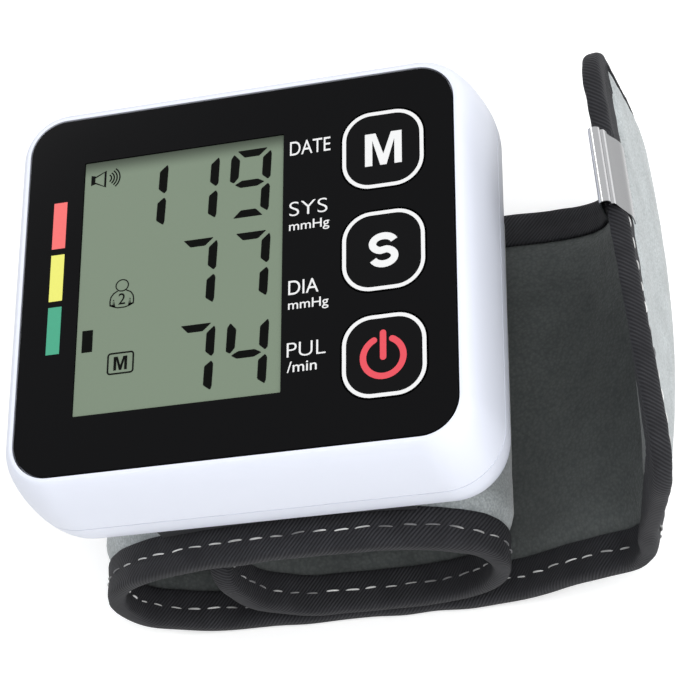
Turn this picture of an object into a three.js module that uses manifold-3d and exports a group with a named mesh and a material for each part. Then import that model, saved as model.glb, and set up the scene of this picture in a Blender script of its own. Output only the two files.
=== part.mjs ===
// Wrist blood pressure monitor lying face up on its curled cuff.
// Millimetres, +Z up from the table, +X to the right and +Y to the top of the display.
import * as THREE from 'three';
import { mergeVertices } from 'three/addons/utils/BufferGeometryUtils.js';
import Module from 'manifold-3d';

const wasm = await Module();
wasm.setup();

// Shared clearances and counts
const gap = 0.3;
const overrun = 1;
const cornerSteps = 5;
const roundSteps = 16;

// Display panel, its window and its three keys
const panelWidth = 73.8;
const panelHeight = 64.6;
const panelCorner = 6.1;
const panelThickness = 1.6;
const windowSideMargins = 38.5;
const windowEndMargins = 18.3;
const windowWidth = panelWidth - windowSideMargins;
const windowHeight = panelHeight - windowEndMargins;
const windowShiftX = -9.4;
const windowShiftY = 0.6;
const keyWidth = 13.8;
const keyCorner = 4.9;
const keyInset = 11.7;
const keyEndMargin = 6.95;
const keySpacing = 4.2;
const keyX = panelWidth / 2 - keyInset;
const keyHeight = (panelHeight - 2 * keyEndMargin - 2 * keySpacing) / 3;
const keyPitch = keyHeight + keySpacing;
const keyTravel = 0.6;
const keyFlange = 0.8;
const keyFlangeThickness = 0.8;
const keyStemRadius = 2.6;

// Case: side swelling past the panel, depth, seam and wall
const sideBulge = 4.1;
const cornerGrowth = 3.6;
const caseDepth = 25.5;
const seamDepth = 14.7;
const caseWall = 1.8;
const ledgeWidth = 2.2;
const ledgeThickness = 1.4;
const ledgeTaper = 1.6;
const frontShares = [
  [0, 0.24, 0.39], [0.07, 0.45, 0.58], [0.21, 0.65, 0.64],
  [0.43, 0.82, 0.61], [0.71, 0.945, 0.87], [1, 1, 1],
];
const rearShares = [
  [0, 1, 1], [0.36, 0.94, 1], [0.65, 0.77, 0.86], [0.9, 0.38, 0.61], [1, 0, 0.33],
];

// Case screws with their posts
const screwInset = 2.7;
const screwX = panelWidth / 2 - screwInset;
const screwY = 29.6;
const postRadius = 2.6;
const shankRadius = 1;
const headRadius = 2;
const headThickness = 1.3;
const screwBite = 5;

// Liquid crystal display behind the window
const lcdRecess = 0.2;
const lcdBorder = 1.9;
const lcdThickness = 1.6;
const holderWall = 1.4;
const holderHeight = 3.6;
const stripWidth = 2.4;
const stripShare = 0.9;

// Circuit board and what it carries
const boardInset = 5.9;
const boardRightInset = 0.9;
const boardLeft = panelWidth / 2 - boardInset;
const boardRight = panelWidth / 2 - boardRightInset;
const boardHalfHeight = panelHeight / 2 - boardInset;
const boardThickness = 1.2;
const matWidth = 12;
const matMargins = 13.6;
const matLength = panelHeight - matMargins;
const matThickness = 1;
const domeRadius = 3.4;
const buzzerRadius = 5.5;
const buzzerHeight = 3;
const buzzerInset = 7.9;
const buzzerX = panelWidth / 2 - buzzerInset;
const buzzerY = -18;

// Battery bay on the left, with two cells side by side
const cellRadius = 5.25;
const cellLength = 44.5;
const cellNubRadius = 1.9;
const cellNubHeight = 1;
const cellSpacing = 11;
const cellWallGap = 0.5;
const cellLift = 0.75;
const contactThickness = 0.5;
const contactHalf = 3.4;
const trayWall = 1.2;
const trayHeight = 12.4;
const doorHalfLength = 23.7;
const doorHeight = 10.6;
const doorDepth = 3.4;
const gripWidth = 12;
const gripDepth = 0.7;
const gripHeight = 1.6;

// Pump, valve, sensor and air way
const motorRadius = 6.2;
const motorLength = 21;
const pumpX = 2;
const pumpY = -2.3;
const headWidth = 14;
const headLength = 13.4;
const headHeight = 12.6;
const pumpDrop = 17;
const nozzleRadius = 1.2;
const nozzleLength = 0.9;
const blockWidth = 13;
const blockLength = 9.4;
const blockHeight = 6;
const valveRadius = 4.2;
const valveLength = 13;
const sensorSide = 8.6;
const sensorHeight = 3.2;
const hoseRadius = 1.8;
const hoseSides = 8;
const hoseSteps = 12;
const nippleX = 4;
const nippleShare = 0.336;
const nippleRadius = 1.6;
const nippleBore = 0.8;
const nippleRise = 1.6;

// Cuff: layers from outside to inside, and its loop
const fabric = 0.8;
const tape = 0.5;
const tapeWidth = 7;
const stayThickness = 0.8;
const bladderThickness = 1.2;
const strapWidth = 76;
const strapShift = -1.45;
const nippleY = -nippleShare * strapWidth;
const loopHalf = 37.6;
const plateThinnest = 1.1;
const plateHalfWidth = 22.5;
const plateEndInset = 4.5;
const plateHeight = strapWidth - 2 * plateEndInset;
const pegRadius = 1.6;
const pegX = 12.5;
const pegY = 24;
const pegRise = 0.1;
const endCorner = 9;
const stayInset = 12.2;
const padInset = 13;

// Tail of the cuff that stands up beside the case, and its metal end clip
const tailReach = 67;
const tailHeight = 57.3;
const tailBulge = 5;
const clipWidth = 13.6;
const clipY = 13.2;
const clipLeg = 7.5;
const clipSheet = 0.5;
const clipEase = 0.15;
const clipReach = 0.7;
const beadRadius = 1.4;

// Derived thicknesses and levels
const innerStack = stayThickness + gap + bladderThickness;
const fabricHalf = gap / 2 + fabric;
const strapHalf = fabricHalf + gap + tape;
const frontHalf = fabric + gap + innerStack / 2;
const floorZ = strapHalf;
const flapZ = floorZ + 2 * strapHalf + gap;
const cuffRise = 31.6;
const topZ = flapZ + cuffRise;
const plateTop = topZ + frontHalf + gap + plateThinnest;
const faceZ = plateTop + gap + caseDepth;

const white = new THREE.MeshStandardMaterial({ color: 0xe9ecf8, roughness: 0.35 });
const black = new THREE.MeshStandardMaterial({ color: 0x0b0c0e, roughness: 0.2 });
const keyBlack = new THREE.MeshStandardMaterial({ color: 0x16171a, roughness: 0.3 });
const lcdGreen = new THREE.MeshStandardMaterial({ color: 0x82957f, roughness: 0.25 });
const clearWhite = new THREE.MeshStandardMaterial({ color: 0xd9dcdc, roughness: 0.5 });
const rubberGrey = new THREE.MeshStandardMaterial({ color: 0x3a3c40, roughness: 0.8 });
const boardGreen = new THREE.MeshStandardMaterial({ color: 0x1d5a38, roughness: 0.5 });
const steel = new THREE.MeshStandardMaterial({ color: 0xb9bcc0, roughness: 0.3, metalness: 1 });
const brass = new THREE.MeshStandardMaterial({ color: 0xc4a259, roughness: 0.35, metalness: 1 });
const darkPlastic = new THREE.MeshStandardMaterial({ color: 0x232427, roughness: 0.6 });
const cellSleeve = new THREE.MeshStandardMaterial({ color: 0x33506e, roughness: 0.35 });
const greyFabric = new THREE.MeshStandardMaterial({ color: 0xa9b3b2, roughness: 0.95 });
const darkFabric = new THREE.MeshStandardMaterial({ color: 0x36393a, roughness: 1 });
const tapeBlack = new THREE.MeshStandardMaterial({ color: 0x232429, roughness: 0.9 });
const foamGrey = new THREE.MeshStandardMaterial({ color: 0x6a6d70, roughness: 1 });
const bladderBlue = new THREE.MeshStandardMaterial({ color: 0x4a6078, roughness: 0.5 });
const stayWhite = new THREE.MeshStandardMaterial({ color: 0xc7cbce, roughness: 0.45 });

// Boolean cuts and joins

function solidOf(geometry) {
  const plain = geometry.clone();
  plain.deleteAttribute('normal');
  plain.deleteAttribute('uv');
  const merged = mergeVertices(plain, 0.0001);
  return new wasm.Manifold(new wasm.Mesh({
    numProp: 3,
    vertProperties: new Float32Array(merged.attributes.position.array),
    triVerts: new Uint32Array(merged.index.array),
  }));
}

function geometryOf(solid) {
  const mesh = solid.getMesh();
  const geometry = new THREE.BufferGeometry();
  geometry.setAttribute('position', new THREE.BufferAttribute(new Float32Array(mesh.vertProperties), 3));
  geometry.setIndex(new THREE.BufferAttribute(new Uint32Array(mesh.triVerts), 1));
  geometry.computeVertexNormals();
  return geometry;
}

function join(first, ...others) {
  return geometryOf(others.reduce((sum, item) => sum.add(solidOf(item)), solidOf(first)));
}

function cut(first, ...others) {
  return geometryOf(others.reduce((sum, item) => sum.subtract(solidOf(item)), solidOf(first)));
}

function common(first, second) {
  return geometryOf(solidOf(first).intersect(solidOf(second)));
}

// Simple shapes placed by their middle or their ends

function boxAt(sizeX, sizeY, sizeZ, x, y, z) {
  return new THREE.BoxGeometry(sizeX, sizeY, sizeZ).translate(x, y, z);
}

function cylinderZ(radius, low, high, x, y) {
  const height = high - low;
  const geometry = new THREE.CylinderGeometry(radius, radius, height, roundSteps);
  return geometry.rotateX(Math.PI / 2).translate(x, y, low + height / 2);
}

function cylinderY(radius, low, high, x, z) {
  const height = high - low;
  const geometry = new THREE.CylinderGeometry(radius, radius, height, roundSteps);
  return geometry.translate(x, low + height / 2, z);
}

function roundedShape(width, height, corner) {
  const shape = new THREE.Shape();
  const points = roundedPoints(width, height, corner);
  shape.setFromPoints(points);
  return shape;
}

function roundedPoints(width, height, corner) {
  const points = [];
  const centreX = width / 2 - corner;
  const centreY = height / 2 - corner;
  for (let quarter = 0; quarter < 4; quarter += 1) {
    const signX = quarter === 0 || quarter === 3 ? 1 : -1;
    const signY = quarter < 2 ? 1 : -1;
    for (let step = 0; step <= cornerSteps; step += 1) {
      const angle = (quarter + step / cornerSteps) * (Math.PI / 2);
      const x = signX * centreX + corner * Math.cos(angle);
      const y = signY * centreY + corner * Math.sin(angle);
      points.push(new THREE.Vector2(x, y));
    }
  }
  return points;
}

function roundedBlock(width, height, corner, low, high, x = 0, y = 0) {
  const settings = { depth: high - low, bevelEnabled: false };
  const geometry = new THREE.ExtrudeGeometry(roundedShape(width, height, corner), settings);
  return geometry.translate(x, y, low);
}

// Closed mesh from a grid of points: rows that close on themselves, joined in a loop or capped

function indexedGeometry(points, faces) {
  const geometry = new THREE.BufferGeometry();
  const flat = points.flatMap((point) => [point.x, point.y, point.z]);
  geometry.setAttribute('position', new THREE.Float32BufferAttribute(flat, 3));
  let volume = 0;
  for (const [a, b, c] of faces) {
    volume += points[a].dot(new THREE.Vector3().crossVectors(points[b], points[c]));
  }
  const ordered = volume < 0 ? faces.map(([a, b, c]) => [a, c, b]) : faces;
  geometry.setIndex(ordered.flat());
  geometry.computeVertexNormals();
  return geometry;
}

function ringLoft(rings, closed) {
  const count = rings[0].length;
  const points = rings.flat();
  const faces = [];
  const last = closed ? rings.length : rings.length - 1;
  for (let row = 0; row < last; row += 1) {
    const next = (row + 1) % rings.length;
    for (let k = 0; k < count; k += 1) {
      const a = row * count + k;
      const b = row * count + ((k + 1) % count);
      const c = next * count + ((k + 1) % count);
      const d = next * count + k;
      faces.push([a, b, c], [a, c, d]);
    }
  }
  if (!closed) {
    for (const [start, flip] of [[0, true], [(rings.length - 1) * count, false]]) {
      const middle = points.length;
      const centre = new THREE.Vector3();
      for (let k = 0; k < count; k += 1) {
        centre.addScaledVector(points[start + k], 1 / count);
      }
      points.push(centre);
      for (let k = 0; k < count; k += 1) {
        const a = start + k;
        const b = start + ((k + 1) % count);
        faces.push(flip ? [b, a, middle] : [a, b, middle]);
      }
    }
  }
  return indexedGeometry(points, faces);
}

// Ring of the case or the panel at one depth, swollen past the panel's edge by an offset

function caseRing(offset, corner, depth) {
  const outline = roundedPoints(panelWidth + 2 * offset, panelHeight + 2 * offset, corner);
  return outline.map((point) => new THREE.Vector3(point.x, point.y, -depth));
}

function profileRows(shares, start, length, inset) {
  return shares.map(([depth, bulge, corner]) => {
    const offset = bulge * sideBulge - inset;
    const radius = panelCorner + corner * cornerGrowth - inset;
    return caseRing(offset, radius, start + depth * length);
  });
}

// Front shell: a swollen frame with a pocket and a ledge for the panel

const frontLength = seamDepth - gap / 2;

function frontShell() {
  const outer = profileRows(frontShares, 0, frontLength, 0);
  const ledgeTop = panelThickness + gap;
  const ledgeFoot = ledgeTop + ledgeThickness;
  const inner = profileRows(frontShares.slice(-2), 0, frontLength, caseWall).reverse();
  const inside = frontShares[frontShares.length - 3];
  const shoulder = caseRing(
    inside[1] * sideBulge - caseWall,
    panelCorner + inside[2] * cornerGrowth - caseWall,
    ledgeFoot + ledgeTaper,
  );
  const ledgeLow = caseRing(-ledgeWidth, panelCorner - ledgeWidth, ledgeFoot);
  const ledgeHigh = caseRing(-ledgeWidth, panelCorner - ledgeWidth, ledgeTop);
  const pocketLow = caseRing(gap, panelCorner + gap, ledgeTop);
  const pocketHigh = caseRing(gap, panelCorner + gap, 0);
  const rings = [...outer, ...inner, shoulder, ledgeLow, ledgeHigh, pocketLow, pocketHigh];
  let shell = ringLoft(rings, true);
  const posts = [];
  const bores = [];
  for (const [x, y] of screwPlaces()) {
    posts.push(cylinderZ(postRadius, -frontLength, -ledgeTop - ledgeThickness / 2, x, y));
    bores.push(cylinderZ(shankRadius + gap, -frontLength - overrun, -frontLength + screwBite, x, y));
  }
  shell = join(shell, ...posts);
  return cut(shell, doorBlock(gap), ...bores);
}

function screwPlaces() {
  return [[-1, -1], [1, -1], [1, 1], [-1, 1]].map(([x, y]) => [x * screwX, y * screwY]);
}

// Rear shell: a bowl with screw bosses, peg holes, an air hole and the battery door's opening

const rearLength = caseDepth - seamDepth - gap / 2;
const rearTop = seamDepth + gap / 2;

function rearBowl() {
  const outer = profileRows(rearShares, rearTop, rearLength, 0);
  const inner = profileRows(rearShares.slice(0, -1), rearTop, rearLength - caseWall, caseWall);
  const floorShare = rearShares[rearShares.length - 2];
  inner.push(caseRing(
    floorShare[1] * sideBulge - 2 * caseWall,
    panelCorner + floorShare[2] * cornerGrowth - 2 * caseWall,
    caseDepth - caseWall,
  ));
  return ringLoft([...inner.reverse(), ...outer], false);
}

const cellDepth = caseDepth - caseWall - cellLift - cellRadius;
const cellLeftX = -(panelWidth / 2 + sideBulge - caseWall - cellWallGap - cellRadius);
const doorTop = cellDepth - doorHeight / 2;
const doorReach = panelWidth / 2 + sideBulge;

function doorBlock(extra) {
  const width = doorDepth + overrun + extra;
  const x = -doorReach - overrun + width / 2;
  const length = 2 * (doorHalfLength + extra);
  return boxAt(width, length, doorHeight + 2 * extra, x, 0, -cellDepth);
}

function rearShell() {
  let shell = rearBowl();
  const bosses = [];
  const holes = [];
  for (const [x, y] of screwPlaces()) {
    bosses.push(cylinderZ(postRadius, -caseDepth + caseWall / 2, -rearTop, x, y));
    holes.push(cylinderZ(shankRadius + gap, -caseDepth - overrun, -rearTop + overrun, x, y));
    holes.push(cylinderZ(headRadius + gap, -caseDepth - overrun, headSeat, x, y));
  }
  for (const [x, y] of pegPlaces()) {
    holes.push(cylinderZ(pegRadius + gap, -caseDepth - overrun, -caseDepth + caseWall + overrun, x, y));
  }
  const airTop = -caseDepth + caseWall + overrun;
  holes.push(cylinderZ(nippleRadius + gap, -caseDepth - overrun, airTop, nippleX, nippleY));
  shell = join(shell, ...bosses);
  return cut(shell, doorBlock(gap), ...holes);
}

const headSeat = -caseDepth + headThickness + gap;

// The door is a piece of the case's side wall, from above the seam down to the cells' underside

function sideWall(inset) {
  return [
    ...profileRows(frontShares.slice(-3), 0, frontLength, inset),
    ...profileRows(rearShares.slice(0, -1), rearTop, rearLength, inset),
  ];
}

function batteryDoor() {
  const wall = ringLoft([...sideWall(0), ...sideWall(caseWall).reverse()], true);
  const panel = common(wall, doorBlock(0));
  const gripX = -doorReach;
  const grip = boxAt(2 * gripDepth, gripWidth, gripHeight, gripX, 0, -doorTop - 2 * gripHeight);
  return cut(panel, grip);
}

function pegPlaces() {
  return [[-1, -1], [1, -1], [1, 1], [-1, 1]].map(([x, y]) => [x * pegX, y * pegY]);
}

function screw(x, y) {
  const head = cylinderZ(headRadius, -caseDepth + gap / 2, headSeat - gap / 2, x, y);
  const tip = -seamDepth + screwBite - 2 * gap;
  const shank = cylinderZ(shankRadius, headSeat - gap, tip, x, y);
  return join(head, shank);
}

// Panel with its window and key openings, and one key

function keyPlaces() {
  return [1, 0, -1].map((row) => row * keyPitch);
}

function displayPanel() {
  const plate = roundedBlock(panelWidth, panelHeight, panelCorner, -panelThickness, 0);
  const openings = keyPlaces().map((y) => roundedBlock(
    keyWidth + 2 * gap,
    keyHeight + 2 * gap,
    keyCorner + gap,
    -panelThickness - overrun,
    overrun,
    keyX,
    y,
  ));
  const view = boxAt(
    windowWidth,
    windowHeight,
    2 * (panelThickness + overrun),
    windowShiftX,
    windowShiftY,
    0,
  );
  return cut(plate, view, ...openings);
}

const flangeTop = panelThickness + gap;
const stemFoot = flangeTop + keyFlangeThickness + keyTravel;

function keyCap(y) {
  const cap = roundedBlock(keyWidth, keyHeight, keyCorner, -flangeTop - gap, 0, keyX, y);
  const flange = roundedBlock(
    keyWidth + 2 * keyFlange,
    keyHeight + 2 * keyFlange,
    keyCorner + keyFlange,
    -flangeTop - keyFlangeThickness,
    -flangeTop,
    keyX,
    y,
  );
  const stem = cylinderZ(keyStemRadius, -stemFoot, -flangeTop - gap, keyX, y);
  return join(cap, flange, stem);
}

// Display glass, its holder, the contact strip and the board

const lcdTop = panelThickness + gap;
const lcdFoot = lcdTop + lcdThickness;
const holderTop = lcdFoot + gap;
const boardTop = holderTop + holderHeight + gap;
const boardFoot = boardTop + boardThickness;

function lcdGlass() {
  const base = boxAt(
    windowWidth + 2 * lcdBorder,
    windowHeight + 2 * lcdBorder,
    lcdThickness,
    windowShiftX,
    windowShiftY,
    -lcdTop - lcdThickness / 2,
  );
  const riseLow = -lcdTop - lcdThickness / 2;
  const rise = -lcdRecess - riseLow;
  const view = boxAt(
    windowWidth - 2 * gap,
    windowHeight - 2 * gap,
    rise,
    windowShiftX,
    windowShiftY,
    riseLow + rise / 2,
  );
  return join(base, view);
}

function lcdHolder() {
  const middle = -holderTop - holderHeight / 2;
  const width = windowWidth + 2 * lcdBorder;
  const height = windowHeight + 2 * lcdBorder;
  const block = boxAt(width, height, holderHeight, windowShiftX, windowShiftY, middle);
  const hollow = boxAt(
    width - 2 * holderWall,
    height - 2 * holderWall,
    holderHeight + 2 * overrun,
    windowShiftX,
    windowShiftY,
    middle,
  );
  return cut(block, hollow);
}

function contactStrip() {
  const innerTop = windowHeight / 2 + lcdBorder - holderWall - gap;
  return boxAt(
    windowWidth * stripShare,
    stripWidth,
    holderHeight,
    windowShiftX,
    windowShiftY + innerTop - stripWidth / 2,
    -holderTop - holderHeight / 2,
  );
}

function circuitBoard() {
  return boxAt(
    boardLeft + boardRight,
    2 * boardHalfHeight,
    boardThickness,
    (boardRight - boardLeft) / 2,
    0,
    -boardTop - boardThickness / 2,
  );
}

function keypadMat() {
  const low = -boardTop + gap;
  const sheet = boxAt(matWidth, matLength, matThickness, keyX, 0, low + matThickness / 2);
  const domeTop = -stemFoot - keyTravel - gap / 2;
  const domes = keyPlaces().map((y) => cylinderZ(domeRadius, low + matThickness / 2, domeTop, keyX, y));
  return join(sheet, ...domes);
}

// Battery cells, contacts and tray

function cellAt(index, turn) {
  const x = cellLeftX + index * cellSpacing;
  const half = cellLength / 2;
  const body = cylinderY(cellRadius, -half, half - cellNubHeight, x, -cellDepth);
  const nub = cylinderY(cellNubRadius, half - 2 * cellNubHeight, half, x, -cellDepth);
  const cell = join(body, nub);
  if (turn) {
    cell.translate(-x, 0, 0).rotateZ(Math.PI).translate(x, 0, 0);
  }
  return cell;
}

function contactAt(index, side, bridge) {
  const span = bridge ? cellSpacing : 0;
  const x = cellLeftX + index * cellSpacing + span / 2;
  const y = side * (cellLength / 2 + gap + contactThickness / 2);
  const width = 2 * contactHalf + span;
  return boxAt(width, contactThickness, 2 * contactHalf, x, y, -cellDepth);
}

function batteryTray() {
  const trayRight = cellLeftX + cellSpacing + cellRadius + gap + trayWall;
  const trayLeft = cellLeftX - contactHalf / 2;
  const endY = cellLength / 2 + contactThickness + 2 * gap;
  const width = trayRight - trayLeft;
  const centreX = (trayRight + trayLeft) / 2;
  const low = -caseDepth + caseWall + gap;
  const z = low + trayHeight / 2;
  const block = boxAt(width, 2 * (endY + trayWall), trayHeight, centreX, 0, z);
  const hollow = boxAt(width, 2 * endY, trayHeight + 2 * overrun, centreX - trayWall, 0, z);
  return cut(block, hollow);
}

// Pump with its head, the air block, the valve, the sensor, the buzzer and the hose

function pumpMotor() {
  return cylinderY(motorRadius, pumpY, pumpY + motorLength, pumpX, -pumpDrop);
}

function pumpHead() {
  const y = pumpY - gap - headLength / 2;
  const block = boxAt(headWidth, headLength, headHeight, pumpX, y, -pumpDrop);
  const stubLength = headWidth / 2 + nozzleLength;
  const stub = new THREE.CylinderGeometry(nozzleRadius, nozzleRadius, stubLength, roundSteps);
  stub.rotateZ(Math.PI / 2);
  stub.translate(pumpX + stubLength / 2, blockY(), -pumpDrop);
  return join(block, stub);
}

function blockY() {
  return pumpY - gap - blockLength / 2;
}

const blockX = pumpX + headWidth / 2 + nozzleLength + gap + blockWidth / 2;

function airBlock() {
  return boxAt(blockWidth, blockLength, blockHeight, blockX, blockY(), -pumpDrop);
}

function exhaustValve() {
  const low = blockY() + blockLength / 2 + gap;
  return cylinderY(valveRadius, low, low + valveLength, blockX, -pumpDrop);
}

function pressureSensor() {
  const top = -boardFoot - gap;
  const box = boxAt(sensorSide, sensorSide, sensorHeight, blockX, blockY(), top - sensorHeight / 2);
  const portFoot = -pumpDrop + blockHeight / 2 + gap;
  const port = cylinderZ(nozzleRadius, portFoot, top - sensorHeight / 2, blockX, blockY());
  return join(box, port);
}

function buzzer() {
  const top = -boardFoot - gap;
  return cylinderZ(buzzerRadius, top - buzzerHeight, top, buzzerX, buzzerY);
}

function airHose() {
  const startY = blockY() - blockLength / 2 - gap;
  const end = -caseDepth + caseWall + nippleRise + gap;
  const turn = 3 * hoseRadius;
  const route = new THREE.CatmullRomCurve3([
    new THREE.Vector3(blockX, startY, -pumpDrop),
    new THREE.Vector3(blockX, startY - turn, -pumpDrop),
    new THREE.Vector3(blockX - turn / 2, nippleY + turn / 3, -pumpDrop),
    new THREE.Vector3(nippleX + 1.5 * turn, nippleY, -pumpDrop),
    new THREE.Vector3(nippleX + turn / 3, nippleY, -pumpDrop - hoseRadius / 3),
    new THREE.Vector3(nippleX, nippleY, (end - pumpDrop) / 2 - hoseRadius / 2),
    new THREE.Vector3(nippleX, nippleY, end),
  ], false, 'catmullrom', 0.5);
  const section = new THREE.Shape();
  section.absarc(0, 0, hoseRadius, 0, 2 * Math.PI, false);
  return new THREE.ExtrudeGeometry(section, {
    steps: hoseSteps,
    extrudePath: route,
    curveSegments: hoseSides,
    bevelEnabled: false,
  });
}

// The strap's middle surface, ruled from its near edge to its far edge.
// Shares of the loop's half width, and of the rise from the flap or the floor to the top.
const flapShares = [
  [-0.426, 0.8], [-0.415, 0.511], [-0.375, 0.225], [-0.24, 0.048], [0, 0], [0.266, 0],
  [0.532, 0.033], [0.718, 0.148], [0.834, 0.34], [0.866, 0.557], [0.804, 0.76],
  [0.672, 0.896], [0.465, 0.97], [0.106, 1], [-0.266, 0.975], [-0.532, 0.92],
];
const turnShares = [
  [-0.758, 0.845], [-0.92, 0.6875], [-1, 0.465], [-0.979, 0.243], [-0.838, 0.085],
  [-0.638, 0.0125], [-0.426, 0], [0, 0], [0.426, 0],
];
// Shares of the tail's reach and height: near x, near z, far x, far z.
const tailShares = [
  [0.358, 0.006, 0.358, 0], [0.482, 0.036, 0.499, 0.014], [0.598, 0.117, 0.653, -0.002],
  [0.709, 0.183, 0.759, 0.048], [0.806, 0.229, 0.806, 0.181], [0.854, 0.327, 0.846, 0.351],
  [0.875, 0.472, 0.898, 0.549], [0.925, 0.678, 0.898, 0.793], [1, 1.001, 0.868, 1.085],
];
const hingeRow = flapShares.length + turnShares.length + 3;
const lastRow = flapShares.length + turnShares.length + tailShares.length - 1;

function strapEdge(side) {
  const points = [];
  for (const [x, z] of flapShares) {
    points.push(new THREE.Vector3(x * loopHalf, 0, flapZ + z * cuffRise));
  }
  for (const [x, z] of turnShares) {
    points.push(new THREE.Vector3(x * loopHalf, 0, floorZ + z * (topZ - floorZ)));
  }
  for (const row of tailShares) {
    const x = side < 0 ? row[0] : row[2];
    const z = side < 0 ? row[1] : row[3];
    points.push(new THREE.Vector3(x * tailReach, 0, floorZ + z * (tailHeight - floorZ)));
  }
  for (const point of points) {
    point.y = side * strapWidth / 2;
  }
  return new THREE.CatmullRomCurve3(points, false, 'centripetal');
}

const nearEdge = strapEdge(-1);
const farEdge = strapEdge(1);
const rowStep = 1 / lastRow;
const endStep = 0.05;
const bulgeRows = 2;

function edgePoint(edge, row) {
  const inside = THREE.MathUtils.clamp(row, 0, lastRow);
  const point = edge.getPoint(inside * rowStep);
  if (inside !== row) {
    const side = row < 0 ? endStep : lastRow - endStep;
    const before = edge.getPoint(side * rowStep);
    point.addScaledVector(point.clone().sub(before), Math.abs(row - inside) / endStep);
  }
  return point;
}

function middlePoint(row, y) {
  const near = edgePoint(nearEdge, row);
  const far = edgePoint(farEdge, row);
  const point = near.lerp(far, 0.5 + y / strapWidth);
  point.x += bulgeAt(row) * (1 - (2 * y / strapWidth) ** 2);
  point.y += strapShift;
  point.z = Math.max(point.z, floorZ);
  return point;
}

function bulgeAt(row) {
  const peak = hingeRow + bulgeRows;
  const rise = THREE.MathUtils.smoothstep(row, hingeRow, peak);
  const fall = 1 - THREE.MathUtils.smoothstep(row, peak, lastRow);
  return tailBulge * rise * fall;
}

const probe = 0.02;

function surfaceFrame(row, y) {
  const from = row - probe;
  const to = row + probe;
  const span = middlePoint(to, y).sub(middlePoint(from, y));
  const pace = span.length() / (to - from);
  const across = middlePoint(row, strapWidth / 2).sub(middlePoint(row, -strapWidth / 2)).normalize();
  const out = new THREE.Vector3().crossVectors(across, span).normalize();
  return { point: middlePoint(row, y), out, pace, along: span.normalize(), across };
}

function onStrap(row, y, height) {
  const frame = surfaceFrame(row, y);
  return frame.point.addScaledVector(frame.out, height);
}

// Half thickness of the whole strap along its length: full over the bladder, thin elsewhere

const thickFrom = 6.4;
const thickTo = 19.4;
const thickRamp = 1.6;

function bodyHalf(row) {
  const rise = THREE.MathUtils.smoothstep(row, thickFrom - thickRamp, thickFrom);
  const fall = 1 - THREE.MathUtils.smoothstep(row, thickTo, thickTo + thickRamp);
  return strapHalf + (frontHalf - strapHalf) * Math.min(rise, fall);
}

// Cloth is flat under the edge tape and swells between the tapes

const swellReach = 2.2 * strapHalf;

function clothHalf(row, y) {
  const edge = strapWidth / 2 - tapeWidth - 2 * gap;
  const swell = 1 - THREE.MathUtils.smoothstep(Math.abs(y), edge - swellReach, edge);
  const fromFlapEnd = row * flapPace - tapeWidth - gap;
  const fromTailEnd = (lastRow - row) * tailPace - tapeWidth - 2 * gap;
  const endSwell = THREE.MathUtils.smoothstep(Math.min(fromFlapEnd, fromTailEnd), 0, swellReach);
  return fabricHalf + (bodyHalf(row) - fabricHalf) * swell * endSwell;
}

// Closed sheet between two heights above the strap's middle surface

function sheetSolid(rows, halfWidthAt, shares, highAt, lowAt) {
  const rings = rows.map((row) => {
    const half = halfWidthAt(row);
    const upper = shares.map((share) => onStrap(row, share * half, highAt(row, share * half)));
    const lower = shares.map((share) => onStrap(row, share * half, lowAt(row, share * half)));
    return [...upper, ...lower.reverse()];
  });
  const count = rings[0].length;
  const width = shares.length;
  const points = rings.flat();
  const faces = [];
  for (let row = 0; row < rings.length - 1; row += 1) {
    for (let k = 0; k < count; k += 1) {
      const a = row * count + k;
      const b = row * count + ((k + 1) % count);
      faces.push([a, b, b + count], [a, b + count, a + count]);
    }
  }
  for (const [start, flip] of [[0, true], [(rings.length - 1) * count, false]]) {
    for (let k = 0; k < width - 1; k += 1) {
      const a = start + k;
      const b = start + k + 1;
      const c = start + count - 2 - k;
      const d = start + count - 1 - k;
      const pair = [[a, b, c], [a, c, d]];
      faces.push(...(flip ? pair.map(([p, q, r]) => [p, r, q]) : pair));
    }
  }
  return indexedGeometry(points, faces);
}

function evenRows(from, to, count) {
  return Array.from({ length: count + 1 }, (_, k) => from + ((to - from) * k) / count);
}

const clothShares = [-1, -0.82, -0.765, -0.71, -0.35, 0, 0.35, 0.71, 0.765, 0.82, 1];
const plainShares = [-1, -0.5, 0, 0.5, 1];
const clothHalfWidth = strapWidth / 2 - tape - gap;
const mainRows = 48;
const flapPace = surfaceFrame(0, 0).pace;
const tailPace = surfaceFrame(lastRow, 0).pace;
const hingePace = surfaceFrame(hingeRow, 0).pace;
const mainEnd = hingeRow - (strapHalf + gap) / hingePace;
const mainRowList = evenRows(0, mainEnd, mainRows);

function rowsWithin(from, to) {
  return mainRowList.filter((row) => row >= from && row <= to);
}

function mainCloth(sign) {
  const outer = (row, y) => sign * clothHalf(row, y);
  const inner = (row, y) => sign * (clothHalf(row, y) - fabric);
  return sheetSolid(mainRowList, () => clothHalfWidth, clothShares, outer, inner);
}

function airHole(low, high) {
  return cylinderZ(nippleRadius + gap, low, high, nippleX, nippleY);
}

// Stay and bladder inside the thick part, foam inside the flap and the floor

const stayHigh = frontHalf - fabric - gap;
const stayLow = stayHigh - stayThickness;
const bladderHigh = stayLow - gap;
const bladderLow = bladderHigh - bladderThickness;
const foamHalf = strapHalf - fabric - gap;
const flapPadRow = 1.2;
const floorPadRow = 21.4;

function stay() {
  const half = strapWidth / 2 - stayInset;
  const rows = rowsWithin(thickFrom, thickTo);
  const sheet = sheetSolid(rows, () => half, plainShares, () => stayHigh, () => stayLow);
  return cut(sheet, airHole(topZ - overrun, topZ + 2 * frontHalf));
}

function bladder() {
  const rows = rowsWithin(thickFrom + 1, thickTo - 1);
  const half = strapWidth / 2 - stayInset;
  return sheetSolid(rows, () => half, plainShares, () => bladderHigh, () => bladderLow);
}

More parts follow.
